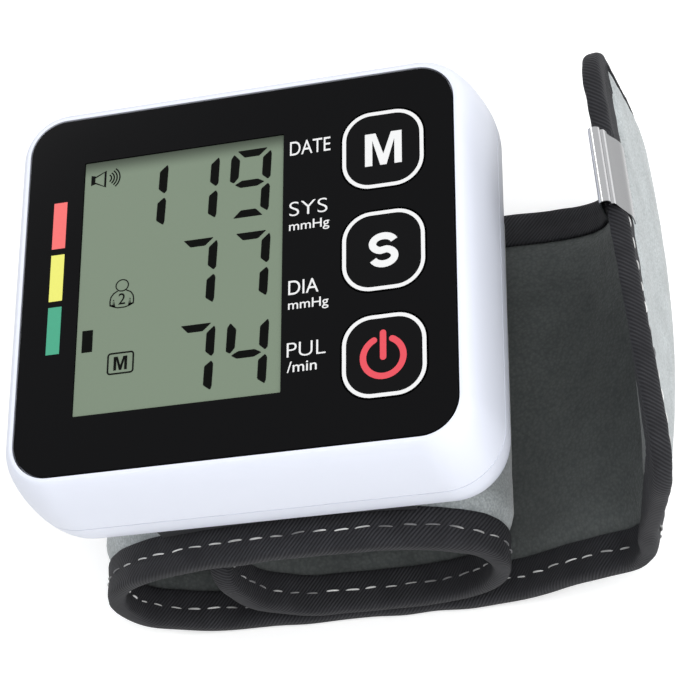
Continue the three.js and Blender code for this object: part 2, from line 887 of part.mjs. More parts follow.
function foamPad(rows) {
  const half = strapWidth / 2 - padInset;
  return sheetSolid(rows, () => half, plainShares, () => foamHalf, () => -foamHalf);
}

// Edge tape: a channel folded over the edge, along a route of rows and sideways places.
// Each route point holds its row, its y and the inward direction along the strap and across it.

const tapeHalf = strapHalf;
const tapeInner = strapHalf - tape;

function edgeTape(route) {
  const rings = route.map(([row, y, inRow, inY]) => {
    const pace = surfaceFrame(row, y).pace;
    const place = (depth, height) => onStrap(row + (inRow * depth) / pace, y + inY * depth, height);
    return [
      place(0, -tapeHalf), place(0, tapeHalf), place(tapeWidth, tapeHalf), place(tapeWidth, tapeInner),
      place(tape, tapeInner), place(tape, -tapeInner), place(tapeWidth, -tapeInner),
      place(tapeWidth, -tapeHalf),
    ];
  });
  return channelLoft(rings);
}

function channelLoft(rings) {
  const count = rings[0].length;
  const faces = [];
  for (let row = 0; row < rings.length - 1; row += 1) {
    for (let k = 0; k < count; k += 1) {
      const a = row * count + k;
      const b = row * count + ((k + 1) % count);
      faces.push([a, b, b + count], [a, b + count, a + count]);
    }
  }
  const cap = [[0, 1, 4], [0, 4, 5], [1, 2, 3], [1, 3, 4], [0, 5, 6], [0, 6, 7]];
  const end = (rings.length - 1) * count;
  for (const [a, b, c] of cap) {
    faces.push([a, c, b], [end + a, end + b, end + c]);
  }
  return indexedGeometry(rings.flat(), faces);
}

const flapTapeRow = -(tape + gap) / flapPace;

function sideTape(side) {
  return edgeTape(mainRowList.map((row) => [row, (side * strapWidth) / 2, 0, -side]));
}

function flapEndTape() {
  const half = strapWidth / 2 - tapeWidth - gap;
  const ys = evenRows(-half, half, plainShares.length - 1);
  return edgeTape(ys.map((y) => [flapTapeRow, y, 1, 0]));
}

// Tail: cloth with rounded corners, foam, one tape round three sides

const tailStart = hingeRow;
const tailEnd = lastRow;
const tailRows = 16;

function tailHalfWidth(margin) {
  return (row) => {
    const corner = endCorner - margin;
    const left = (tailEnd - row) * tailPace - margin;
    const over = Math.max(corner - left, 0);
    const pull = corner - Math.sqrt(Math.max(corner * corner - over * over, 0));
    return strapWidth / 2 - margin - pull;
  };
}

function tailRowList(margin) {
  const corner = endCorner - margin;
  const rows = evenRows(tailStart, tailEnd - endCorner / tailPace, tailRows);
  for (let step = 1; step <= cornerSteps; step += 1) {
    const left = corner * (1 - Math.sin((step / cornerSteps) * (Math.PI / 2)));
    rows.push(tailEnd - (left + margin) / tailPace);
  }
  return rows;
}

function tailCloth(sign) {
  const margin = tape + gap;
  const outer = (row, y) => sign * clothHalf(row, y);
  const inner = (row, y) => sign * (clothHalf(row, y) - fabric);
  return sheetSolid(tailRowList(margin), tailHalfWidth(margin), clothShares, outer, inner);
}

// The foam's root reaches past the fold line, inside the round the tail turns in

function tailFoam() {
  const root = tailStart - (strapHalf - gap) / hingePace;
  const last = tailEnd - (tapeWidth + swellReach + 5 * gap) / tailPace;
  const between = tailRowList(0).filter((row) => row < last);
  return foamPad([root, ...between, last]);
}

// The tape turns each corner on an arc. Its folded edge stays a tape's width inside.

function tailRoute() {
  const half = strapWidth / 2;
  const cornerRow = tailEnd - endCorner / tailPace;
  const straight = evenRows(tailStart, cornerRow, tailRows);
  const route = straight.map((row) => [row, -half, 0, 1]);
  for (const side of [-1, 1]) {
    for (let step = 1; step <= cornerSteps; step += 1) {
      const turn = side < 0 ? step / cornerSteps : 1 - (step - 1) / cornerSteps;
      const angle = turn * (Math.PI / 2);
      const left = endCorner * (1 - Math.sin(angle));
      const y = side * (half - endCorner * (1 - Math.cos(angle)));
      route.push([tailEnd - left / tailPace, y, -Math.sin(angle), -side * Math.cos(angle)]);
    }
    if (side < 0) {
      for (const share of clothShares.slice(4, -4)) {
        route.push([tailEnd, share * half, -1, 0]);
      }
    }
  }
  for (const row of straight.reverse()) {
    route.push([row, half, 0, -1]);
  }
  return route;
}

// Metal clip folded over the tail's end, with a rolled bead

function endClip() {
  const frame = surfaceFrame(lastRow - clipLeg / 2 / tailPace, clipY);
  frame.point.addScaledVector(frame.along, clipLeg / 2);
  const innerHalf = tapeHalf + gap + clipEase;
  const outerHalf = innerHalf + clipSheet;
  const shape = new THREE.Shape([
    new THREE.Vector2(-clipLeg, outerHalf), new THREE.Vector2(-clipLeg, innerHalf),
    new THREE.Vector2(clipReach, innerHalf), new THREE.Vector2(clipReach, -innerHalf),
    new THREE.Vector2(-clipLeg, -innerHalf), new THREE.Vector2(-clipLeg, -outerHalf),
    new THREE.Vector2(clipReach + clipSheet, -outerHalf),
    new THREE.Vector2(clipReach + clipSheet, outerHalf),
  ]);
  const settings = { depth: clipWidth, bevelEnabled: false };
  const sheet = new THREE.ExtrudeGeometry(shape, settings);
  const bead = new THREE.CylinderGeometry(beadRadius, beadRadius, clipWidth, roundSteps);
  const bore = new THREE.CylinderGeometry(
    beadRadius - clipSheet,
    beadRadius - clipSheet,
    clipWidth + 2 * overrun,
    roundSteps,
  );
  for (const tube of [bead, bore]) {
    tube.rotateX(Math.PI / 2).translate(clipReach + clipSheet, -outerHalf - beadRadius / 2, clipWidth / 2);
  }
  const clip = cut(join(sheet, bead), bore);
  clip.translate(0, 0, -clipWidth / 2);
  const basis = new THREE.Matrix4().makeBasis(
    frame.along,
    frame.out,
    new THREE.Vector3().crossVectors(frame.along, frame.out),
  );
  basis.setPosition(frame.point);
  return clip.applyMatrix4(basis);
}

// Mount plate: flat under the case, hollowed to the cuff's arch below

function mountPlate() {
  const foot = [];
  for (const row of mainRowList) {
    const point = onStrap(row, 0, bodyHalf(row) + gap);
    if (Math.abs(point.x) < plateHalfWidth && point.z > topZ / 2 && row > thickFrom) {
      foot.push(new THREE.Vector2(point.x, point.z));
    }
  }
  const lowEnd = (first, second, x) => {
    const slope = (second.y - first.y) / (second.x - first.x);
    return new THREE.Vector2(x, first.y + slope * (x - first.x));
  };
  const right = lowEnd(foot[0], foot[1], plateHalfWidth);
  const left = lowEnd(foot[foot.length - 1], foot[foot.length - 2], -plateHalfWidth);
  const outline = [
    new THREE.Vector2(-plateHalfWidth, plateTop), new THREE.Vector2(plateHalfWidth, plateTop),
    right, ...foot, left,
  ];
  const settings = { depth: plateHeight, bevelEnabled: false };
  const slab = new THREE.ExtrudeGeometry(new THREE.Shape(outline), settings);
  slab.rotateX(Math.PI / 2).translate(0, plateHeight / 2, 0);
  const pegTop = plateTop + gap + caseWall + pegRise;
  const pegs = pegPlaces().map(([x, y]) => cylinderZ(pegRadius, plateTop - plateThinnest / 2, pegTop, x, y));
  return cut(join(slab, ...pegs), airHole(topZ, pegTop));
}

function airNipple() {
  const foot = topZ + bladderHigh + gap;
  const top = plateTop + gap + caseWall + nippleRise;
  const tube = cylinderZ(nippleRadius, foot, top, nippleX, nippleY);
  return cut(tube, cylinderZ(nippleBore, foot - overrun, top + overrun, nippleX, nippleY));
}

// Put the pieces into the scene

const model = new THREE.Group();
const monitor = new THREE.Group();
monitor.position.z = faceZ;
const cuff = new THREE.Group();
model.add(monitor, cuff);

function add(group, name, geometry, material) {
  const mesh = new THREE.Mesh(geometry, material);
  mesh.name = name;
  group.add(mesh);
}

add(monitor, 'front_shell', frontShell(), white);
add(monitor, 'rear_shell', rearShell(), white);
add(monitor, 'battery_door', batteryDoor(), white);
add(monitor, 'display_panel', displayPanel(), black);
add(monitor, 'key_memory', keyCap(keyPlaces()[0]), keyBlack);
add(monitor, 'key_set', keyCap(keyPlaces()[1]), keyBlack);
add(monitor, 'key_power', keyCap(keyPlaces()[2]), keyBlack);
add(monitor, 'lcd_glass', lcdGlass(), lcdGreen);
add(monitor, 'lcd_holder', lcdHolder(), clearWhite);
add(monitor, 'lcd_contact_strip', contactStrip(), rubberGrey);
add(monitor, 'circuit_board', circuitBoard(), boardGreen);
add(monitor, 'keypad_mat', keypadMat(), rubberGrey);
add(monitor, 'buzzer', buzzer(), darkPlastic);
add(monitor, 'battery_cell_outer', cellAt(0, false), cellSleeve);
add(monitor, 'battery_cell_inner', cellAt(1, true), cellSleeve);
add(monitor, 'battery_bridge', contactAt(0, 1, true), brass);
add(monitor, 'battery_terminal_outer', contactAt(0, -1, false), brass);
add(monitor, 'battery_terminal_inner', contactAt(1, -1, false), brass);
add(monitor, 'battery_tray', batteryTray(), darkPlastic);
add(monitor, 'pump_motor', pumpMotor(), steel);
add(monitor, 'pump_head', pumpHead(), darkPlastic);
add(monitor, 'air_block', airBlock(), clearWhite);
add(monitor, 'exhaust_valve', exhaustValve(), steel);
add(monitor, 'pressure_sensor', pressureSensor(), darkPlastic);
add(monitor, 'air_hose', airHose(), clearWhite);
screwPlaces().forEach(([x, y], index) => {
  add(monitor, `case_screw_${index + 1}`, screw(x, y), steel);
});

add(cuff, 'cuff_mount_plate', mountPlate(), darkPlastic);
add(cuff, 'air_nipple', airNipple(), clearWhite);
add(cuff, 'cuff_outer_cloth', cut(mainCloth(1), airHole(topZ, plateTop)), greyFabric);
add(cuff, 'cuff_lining', mainCloth(-1), darkFabric);
add(cuff, 'cuff_stay', stay(), stayWhite);
add(cuff, 'air_bladder', bladder(), bladderBlue);
add(cuff, 'flap_foam', foamPad(rowsWithin(flapPadRow, thickFrom - thickRamp)), foamGrey);
add(cuff, 'floor_foam', foamPad(rowsWithin(floorPadRow, mainEnd)), foamGrey);
add(cuff, 'edge_tape_near', sideTape(-1), tapeBlack);
add(cuff, 'edge_tape_far', sideTape(1), tapeBlack);
add(cuff, 'flap_end_tape', flapEndTape(), tapeBlack);
add(cuff, 'tail_outer_cloth', tailCloth(1), greyFabric);
add(cuff, 'tail_lining', tailCloth(-1), darkFabric);
add(cuff, 'tail_foam', tailFoam(), foamGrey);
add(cuff, 'tail_edge_tape', edgeTape(tailRoute()), tapeBlack);
add(cuff, 'tail_end_clip', endClip(), steel);


export default model;
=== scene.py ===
from math import atan2, copysign, cos, degrees, hypot, pi, radians, sin, sqrt

import bpy
import numpy as np
from mathutils import Matrix, Vector


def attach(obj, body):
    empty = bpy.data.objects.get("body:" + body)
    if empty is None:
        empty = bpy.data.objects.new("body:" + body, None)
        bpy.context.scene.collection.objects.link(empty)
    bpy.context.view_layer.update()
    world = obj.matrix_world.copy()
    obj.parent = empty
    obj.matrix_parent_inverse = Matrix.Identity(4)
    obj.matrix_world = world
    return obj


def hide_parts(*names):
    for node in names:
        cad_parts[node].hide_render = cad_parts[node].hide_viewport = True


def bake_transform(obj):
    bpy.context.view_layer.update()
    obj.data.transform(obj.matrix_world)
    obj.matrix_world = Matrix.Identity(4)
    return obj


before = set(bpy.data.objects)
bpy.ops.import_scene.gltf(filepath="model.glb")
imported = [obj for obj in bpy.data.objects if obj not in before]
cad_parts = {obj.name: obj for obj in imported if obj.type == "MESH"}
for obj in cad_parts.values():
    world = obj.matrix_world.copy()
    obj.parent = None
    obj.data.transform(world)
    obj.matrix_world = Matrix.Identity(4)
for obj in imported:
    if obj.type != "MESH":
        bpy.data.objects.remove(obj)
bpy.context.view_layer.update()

# ----------
# The table top, the lamps and the camera.
# A plain white studio table under a bright sky, with soft lamps over the near
# right, the far left and low on the right, and the fitted camera in front.
mm = 0.001


def nodes_of(name):
    """A new node material, its Principled shader and its node tree."""
    material = bpy.data.materials.new(name)
    material.use_nodes = True
    tree = material.node_tree
    return material, tree.nodes["Principled BSDF"], tree


def wire(made, inputs):
    """Sets a node's inputs: sockets are linked, and a node stands for its first live output."""
    for key, value in inputs.items():
        if isinstance(value, bpy.types.Node):
            value = next(socket for socket in value.outputs if socket.enabled)
        if isinstance(value, bpy.types.NodeSocket):
            made.id_data.links.new(value, made.inputs[key])
        else:
            made.inputs[key].default_value = value


def add_node(tree, kind, inputs=None, **settings):
    """A new shader node with its settings and inputs."""
    made = tree.nodes.new("ShaderNode" + kind)
    for key, value in settings.items():
        setattr(made, key, value)
    wire(made, inputs or {})
    return made


def spread(value, low, high, to_low=0.0, to_high=1.0, **settings):
    """Maps a value from one range to another."""
    return add_node(value.id_data, "MapRange", {
        "Value": value, "From Min": low, "From Max": high, "To Min": to_low, "To Max": to_high,
    }, **settings)


def new_piece(name, data):
    piece = bpy.data.objects.new(name, data)
    bpy.context.scene.collection.objects.link(piece)
    return piece


def placing(x_axis, y_axis, z_axis, place):
    """The matrix with these axes and this place."""
    return Matrix([*zip(x_axis, y_axis, z_axis, place), (0, 0, 0, 1)])


bpy.ops.object.select_all(action="DESELECT")
bpy.ops.mesh.primitive_plane_add(size=3.0, location=(0, 0, -0.02 * mm))
table_top = bpy.context.object
table_top.name = "table_top"
table_paint, shader, tree = nodes_of("white_table")
rays = add_node(tree, "LightPath")
seen = add_node(tree, "Math", {1: 0.3, 0: rays}, operation="MULTIPLY")
white_glow = add_node(tree, "Emission", {"Color": (1, 1, 1, 1), "Strength": seen})
lifted = add_node(tree, "AddShader", {0: shader, 1: white_glow})
wire(shader, {"Base Color": (0.92, 0.92, 0.92, 1), "Roughness": 0.7})
wire(tree.nodes["Material Output"], {"Surface": lifted})
table_top.data.materials.append(table_paint)

world = bpy.data.worlds.new("studio")
bpy.context.scene.world = world
world.use_nodes = True
sky = world.node_tree.nodes["Background"]
sky_rays = add_node(world.node_tree, "LightPath")
sky_level = spread(sky_rays, 0, 1, 0.7, 1.0)
wire(sky, {"Color": (0.98, 0.99, 1.0, 1), "Strength": sky_level})


def soft_lamp(name, place, aim, width, watts):
    bpy.ops.object.light_add(type="AREA", location=place)
    lamp = bpy.context.object
    lamp.name = name
    lamp.data.shape = "SQUARE"
    lamp.data.size = width
    lamp.data.energy = watts
    lamp.rotation_mode = "QUATERNION"
    lamp.rotation_quaternion = (Vector(place) - Vector(aim)).to_track_quat("Z", "Y")


soft_lamp("key_lamp", (0.35, -0.25, 0.95), (0, 0, 0.05), 0.5, 3.75)
soft_lamp("rear_lamp", (-0.6, 0.7, 0.84), (0, 0, 0.04), 0.4, 1.5)
soft_lamp("side_lamp", (0.8, -0.12, 0.42), (0.03, 0, 0.04), 0.4, 2.4)

panel_face = 66.6
camera_data = bpy.data.cameras.new("photo_camera")
camera = new_piece("photo_camera", camera_data)
camera.matrix_world = placing(
    (0.962643, -0.008909, -0.270628),
    (0.11869, 0.912208, 0.39216),
    (0.243376, -0.409631, 0.879187),
    Vector((114.034, -161.25, panel_face + 311.554)) * mm,
)
camera_data.sensor_width = 36
camera_data.lens = 120.39
camera_data.shift_x = -0.0882
camera_data.clip_start = 0.01
camera_data.clip_end = 20
bpy.context.scene.camera = camera
bpy.context.scene.view_settings.view_transform = "Standard"

# ----------
# The front half of the case.
# Injection-moulded white plastic: a frame that swells outwards to the seam,
# with a narrow lip round the panel and a ledge below it that holds the panel.
body = "monitor_and_cuff"
panel_width = 73.8
panel_height = 64.6
panel_corner = 6.1
seam_top = 14.55
swell = 4.1
front_rows = [
    (14.2, 0.01), (12.5, 0.07), (10.4, 0.22), (8.3, 0.44), (6.3, 0.74), (4.6, 1.08),
    (3.1, 1.44), (1.95, 1.86), (1.05, 2.3), (0.5, 2.68), (0.17, 3.0), (0.03, 3.2), (0.0, 3.3),
]


def clear_selection():
    if bpy.context.object and bpy.context.object.mode != "OBJECT":
        bpy.ops.object.mode_set(mode="OBJECT")
    bpy.ops.object.select_all(action="DESELECT")


def pick(piece):
    clear_selection()
    piece.select_set(True)
    bpy.context.view_layer.objects.active = piece


def fix_place():
    bpy.ops.object.transform_apply(location=True, rotation=True, scale=True)


def edit_all(piece):
    pick(piece)
    bpy.ops.object.mode_set(mode="EDIT")
    bpy.ops.mesh.select_all(action="SELECT")


def rounded_plane(name, width, height, corner, x, y, z, steps=16):
    """A flat plate outline with round corners, left in edit mode and selected."""
    clear_selection()
    bpy.ops.mesh.primitive_plane_add(size=1, location=(x * mm, y * mm, z * mm))
    piece = bpy.context.object
    piece.name = name
    piece.data.name = name
    piece.scale = (width * mm, height * mm, 1)
    fix_place()
    edit_all(piece)
    bpy.ops.mesh.bevel(offset=corner * mm, segments=steps, affect="VERTICES")
    bpy.ops.mesh.select_all(action="SELECT")
    return piece


def pull(rise, grow=(1, 1)):
    """Extrudes the selected face along Z and scales it about the case's middle."""
    bpy.ops.mesh.extrude_region_move(TRANSFORM_OT_translate={"value": (0, 0, rise * mm)})
    if grow != (1, 1):
        bpy.ops.transform.resize(value=(*grow, 1), center_override=(0, 0, 0))


def step_in(inwards, rise):
    bpy.ops.mesh.inset(thickness=inwards * mm, depth=rise * mm, use_even_offset=True)


def follow(rows, depth_now):
    """Steps along rows of depth and inset; gives the last inset."""
    inset_now = 0.0
    for depth, inset in rows:
        step_in(inset - inset_now, depth_now - depth)
        depth_now, inset_now = depth, inset
    return inset_now


def outward_normals():
    bpy.ops.mesh.select_all(action="SELECT")
    bpy.ops.mesh.remove_doubles(threshold=0.0005 * mm)
    bpy.ops.mesh.normals_make_consistent(inside=False)
    bpy.ops.object.mode_set(mode="OBJECT")


def open_edges(piece):
    """In edit mode: selects the edges that only one face holds."""
    pick(piece)
    bpy.ops.object.mode_set(mode="EDIT")
    bpy.ops.mesh.select_all(action="DESELECT")
    bpy.ops.mesh.select_mode(type="EDGE")
    bpy.ops.mesh.select_non_manifold()


def change(piece, kind, **settings):
    """Adds a modifier with its settings and applies it."""
    pick(piece)
    modifier = piece.modifiers.new("change", kind)
    for key, value in settings.items():
        setattr(modifier, key, value)
    bpy.ops.object.modifier_apply(modifier=modifier.name)


def cut_with(piece, cutter, how="DIFFERENCE"):
    """Boolean with a cutter, which is then removed."""
    change(piece, "BOOLEAN", operation=how, solver="EXACT", object=cutter)
    bpy.data.objects.remove(cutter)


def soften(piece, width, steps=2, angle=35):
    change(
        piece, "BEVEL", width=width * mm, segments=steps, limit_method="ANGLE",
        angle_limit=radians(angle), harden_normals=False,
    )


def finish_piece(piece, material, body_name, slot, *nodes, angle=35):
    """Shading, material, body and the CAD nodes that the piece stands for; slot is not used."""
    pick(piece)
    bpy.ops.object.shade_smooth_by_angle(angle=radians(angle))
    piece.data.materials.clear()
    piece.data.materials.append(material)
    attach(piece, body_name)
    if nodes:
        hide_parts(*nodes)
    change(piece, "WEIGHTED_NORMAL", keep_sharp=True)
    return piece


def coords(tree, kind="Object"):
    return add_node(tree, "TexCoord").outputs[kind]


def noise(place, scale, detail=2, roughness=0.5):
    return add_node(place.id_data, "TexNoise", {
        "Vector": place, "Scale": scale, "Detail": detail, "Roughness": roughness,
    })


def two_tones(dark, light, share):
    return add_node(
        share.id_data, "Mix", {"A": (*dark, 1), "B": (*light, 1), "Factor": share}, data_type="RGBA"
    )


def bumps(height, strength, depth):
    return add_node(
        height.id_data, "Bump", {"Height": height, "Strength": strength, "Distance": depth * mm}
    )


def moulded_plastic(
    name, colour, roughness, grain=900.0, depth=0.02, sheen_noise=0.05, specular=0.5
):
    """Moulded plastic: fine spark-eroded grain in the bump, slight gloss variation."""
    material, shader, tree = nodes_of(name)
    place = coords(tree)
    fine = noise(place, grain, 3)
    broad = noise(place, 40, 4)
    gloss = spread(broad, 0, 1, roughness - sheen_noise, roughness + sheen_noise)
    tint = two_tones([c * 0.965 for c in colour], colour, broad)
    bump = bumps(fine, 0.25, depth)
    wire(shader, {
        "Roughness": gloss, "Base Color": tint, "Normal": bump, "Specular IOR Level": specular,
    })
    return material


white_plastic = moulded_plastic("white_case_plastic", (0.8, 0.83, 0.93), 0.38)
wide = panel_width + 2 * swell
tall = panel_height + 2 * swell
front_half = rounded_plane(
    "case_front_half", wide, tall, panel_corner + swell, 0, 0, panel_face - seam_top
)
step_in(swell - 0.3 - follow(front_rows, seam_top), 0.0)
pull(-1.9)
step_in(2.5, 0)
pull(-1.4)
pull(-1.6, (1 + 8.0 / panel_width, 1 + 8.0 / panel_height))
pull(-(seam_top - 4.9 - 0.02))
bpy.ops.mesh.delete(type="FACE")
open_edges(front_half)
bpy.ops.mesh.bridge_edge_loops()
outward_normals()


def block(size, place, turn=0):
    clear_selection()
    bpy.ops.mesh.primitive_cube_add(
        size=1, location=[v * mm for v in place], rotation=(0, 0, radians(turn))
    )
    bpy.context.object.scale = [v * mm for v in size]
    fix_place()
    return bpy.context.object


door_deep, door_long, door_high = 4.4, 47.4, 10.6


def door_cutter(extra):
    """The block that the battery door and its opening share."""
    size = (door_deep + extra, door_long + 2 * extra, door_high + 2 * extra)
    return block(size, (-42.0 + size[0] / 2, 0, panel_face - 17.7))


cut_with(front_half, door_cutter(0.3))
finish_piece(front_half, white_plastic, body, "white_case", "front_shell")

# ----------
# The rear half of the case.
# The same white plastic, a bowl that curves in under the cuff, with four deep
# screw holes, four holes for the cuff plate's pegs and one for the air tube.
seam_bottom = 14.85
rear_rows = [
    (15.3, 0.02), (16.6, 0.07), (18.0, 0.17), (19.3, 0.33), (20.6, 0.6), (21.8, 0.96),
    (22.8, 1.4), (23.7, 2.0), (24.4, 2.65), (24.95, 3.35), (25.3, 4.05), (25.47, 4.8), (25.5, 5.5),
]
rear_half = rounded_plane(
    "case_rear_half", wide, tall, panel_corner + swell, 0, 0, panel_face - seam_bottom
)
follow(rear_rows, seam_bottom)
outward_normals()
wall = 1.8 * mm
change(rear_half, "SOLIDIFY", thickness=wall, offset=-1)


def round_bar(radius, length, place, steps=32, turn=0):
    clear_selection()
    bpy.ops.mesh.primitive_cylinder_add(
        vertices=steps, radius=radius * mm, depth=length * mm, location=[v * mm for v in place],
        rotation=(turn, 0, 0),
    )
    fix_place()
    return bpy.context.object


def round_cutter(radius, low, high, x, y):
    return round_bar(radius, high - low, (x, y, (low + high) / 2))


case_depth = 25.5
case_back = panel_face - case_depth
screw_places = [(sx * 34.2, sy * 29.6) for sx, sy in ((-1, -1), (1, -1), (1, 1), (-1, 1))]
for x, y in screw_places:
    post = round_cutter(2.6, case_back + 0.9, panel_face - seam_bottom, x, y)
    cut_with(rear_half, post, "UNION")
    cut_with(rear_half, round_cutter(2.3, case_back - 1, case_back + 1.6, x, y))
    cut_with(rear_half, round_cutter(1.3, case_back - 1, panel_face - seam_bottom + 1, x, y))
for x, y in [(sx * 12.5, sy * 24) for sx in (-1, 1) for sy in (-1, 1)] + [(4, -26)]:
    cut_with(rear_half, round_cutter(1.9, case_back - 1, case_back + 2.8, x, y))
cut_with(rear_half, door_cutter(0.3))
finish_piece(rear_half, white_plastic, body, "white_case", "rear_shell")

# ----------
# The case screws.
# Small plated pan-head screws with a cross recess, sunk in the rear half.


def plated_steel(name, colour, roughness, streaks=(1, 1, 1), scale=400.0):
    """Plated metal: faint streaks in the gloss, next to no bump."""
    material, shader, tree = nodes_of(name)
    place = coords(tree)
    stretch = add_node(tree, "Mapping", {"Scale": streaks, "Vector": place})
    lines = noise(stretch, scale, 5)
    gloss = spread(lines, 0, 1, max(roughness - 0.1, 0.03), roughness + 0.12)
    bump = bumps(lines, 0.12, 0.01)
    wire(shader, {"Metallic": 1.0, "Base Color": (*colour, 1), "Roughness": gloss, "Normal": bump})
    return material


screw_steel = plated_steel("screw_plating", (0.62, 0.62, 0.63), 0.3)
for number, (x, y) in enumerate(screw_places, 1):
    head = round_cutter(2.0, case_back + 0.15, case_back + 1.45, x, y)
    head.name = f"case_screw_head_{number}"
    head.data.name = head.name
    soften(head, 0.35, 3)
    cut_with(head, round_cutter(1.0, case_back + 1.3, case_back + 18.9, x, y), "UNION")
    for turn in (0, 90):
        cut_with(head, block((2.2, 0.5, 1.1), (x, y, case_back + 0.3), turn + 20 * number))
    finish_piece(head, screw_steel, body, "steel", f"case_screw_{number}")

# ----------
# The battery door on the left side.
# A curved white lid that follows the case's wall, hinged along its lower edge,
# with a row of grip grooves below its upper edge.
battery_door = rounded_plane(
    "battery_lid", wide, tall, panel_corner + swell, 0, 0, panel_face - 14.7
)
pull(0)
follow(rear_rows[1:9], 14.7)
bpy.ops.mesh.delete(type="FACE")
bpy.ops.mesh.select_mode(type="EDGE")
bpy.ops.mesh.select_all(action="DESELECT")
bpy.ops.object.mode_set(mode="OBJECT")
for edge in battery_door.data.edges:
    a, b = (battery_door.data.vertices[i].co.z for i in edge.vertices)
    edge.select = min(a, b) > (panel_face - 14.72) * mm
bpy.ops.object.mode_set(mode="EDIT")
depth_now, inset_now = 14.7, 0.0
for depth, inset in front_rows[1:5]:
    grow_x = (wide - 2 * inset) / (wide - 2 * inset_now)
    grow_y = (tall - 2 * inset) / (tall - 2 * inset_now)
    pull(depth_now - depth, (grow_x, grow_y))
    depth_now, inset_now = depth, inset
outward_normals()
change(battery_door, "SOLIDIFY", thickness=wall, offset=-1)
cut_with(battery_door, door_cutter(0.0), "INTERSECT")
soften(battery_door, 0.22, 2, 50)
for step in range(5):
    groove_place = (-41.05, 0, panel_face - 13.6 - 1.15 * step)
    cut_with(battery_door, round_bar(0.45, 12, groove_place, 16, pi / 2))
finish_piece(battery_door, white_plastic, "battery_cover", "white_case", "battery_door")

# ----------
# The display panel.
# A glossy black cover sheet with the display window and three key holes; its
# words, the colour scale and the key outlines are printed on its face.
glossy_black = moulded_plastic(
    "panel_gloss_black", (0.004, 0.004, 0.0045), 0.16, 300.0, 0.002, 0.03, 0.07
)
window_x, window_y = -9.4, 0.6
window_width, window_height = 35.3, 46.3
key_x = 25.2
key_rows = (18.3, 0.0, -18.3)


def solid_plate(name, width, height, corner, x, y, deep, top, steps=12):
    """A plate with round corners between two depths below the panel's face."""
    piece = rounded_plane(name, width, height, corner, x, y, panel_face - deep, steps)
    pull(deep - top)
    outward_normals()
    open_edges(piece)
    bpy.ops.mesh.edge_face_add()
    outward_normals()
    return piece


panel = solid_plate(
    "display_cover_panel", panel_width, panel_height, panel_corner, 0, 0, 1.6, 0, 20
)
cut_with(panel, solid_plate("cutter", window_width, window_height, 0.2, window_x, window_y, 3, -1))
for y in key_rows:
    cut_with(panel, solid_plate("cutter", 14.4, 14.7, 5.2, key_x, y, 3, -1))
soften(panel, 0.12, 2, 50)
finish_piece(panel, glossy_black, body, "panel_black", "display_panel")

# ----------
# The liquid crystal display.
# Grey-green glass set a little below the panel, with slanted seven-segment
# figures, a loudspeaker, a user figure, a memory sign and a scale marker.
display_glass, shader, tree = nodes_of("display_grey_green")
place = coords(tree)
haze = noise(place, 30, 6)
mirror_grain = noise(place, 5200, 1)
half_haze = add_node(tree, "Math", {1: 0.5, 0: haze}, operation="MULTIPLY")
blend_grain = add_node(
    tree, "Math", {0: mirror_grain, 1: 0.5, 2: half_haze}, operation="MULTIPLY_ADD"
)
tint = two_tones((0.178, 0.225, 0.164), (0.193, 0.243, 0.178), blend_grain)
height_on_glass = add_node(tree, "SeparateXYZ", {0: place}).outputs["Y"]
# Painted shadow: the glass's colour darkens over its top 3.6 mm, as if the window's edge shaded it.
painted_window_shadow = spread(height_on_glass, 20.4 * mm, 24.0 * mm, 1.0, 0.28, interpolation_type="SMOOTHSTEP")
edge_shade = add_node(tree, "VectorMath", {0: tint, "Scale": painted_window_shadow}, operation="SCALE")
wire(shader, {"Roughness": 0.28, "Specular IOR Level": 0.15, "Base Color": edge_shade})
display_level = panel_face - 0.2
display = solid_plate(
    "display_glass", window_width + 3.8, window_height + 3.8, 0.5, window_x, window_y, 3.5, 1.9
)
raised = solid_plate(
    "display_top", window_width - 0.2, window_height - 0.2, 0.15, window_x, window_y, 2.4, 0.2
)
cut_with(display, raised, "UNION")
finish_piece(display, display_glass, body, "lcd_glass", "lcd_glass")


def drawn(name, outlines, thickness, filled=True):
    """A mesh from flat outlines in millimetres; unfilled ones stay open."""
    clear_selection()
    curve = bpy.data.curves.new(name, "CURVE")
    curve.dimensions = "2D"
    curve.fill_mode = "BOTH" if filled else "NONE"
    curve.extrude = thickness / 2 * mm
    for outline in outlines:
        spline = curve.splines.new("POLY")
        spline.points.add(len(outline) - 1)
        for point, (x, y) in zip(spline.points, outline):
            point.co = (x * mm, y * mm, 0, 1)
        spline.use_cyclic_u = filled
    pick(new_piece(name, curve))
    bpy.ops.object.convert(target="MESH")
    return bpy.context.object


def flat_print(name, outlines, level, thickness, ink, body_name, slot):
    """Ink shapes, a hair thick."""
    piece = drawn(name, outlines, thickness)
    piece.location.z = level * mm
    fix_place()
    finish_piece(piece, ink, body_name, slot)


ink_level = display_level + 0.02


def lcd_print(name, outlines):
    flat_print(name, outlines, ink_level, 0.04, display_ink, body, "panel_black")


def round_path(centre, radius, start, end, steps):
    x, y = centre
    angles = [radians(start + (end - start) * k / steps) for k in range(steps + 1)]
    return [(x + radius * cos(a), y + radius * sin(a)) for a in angles]


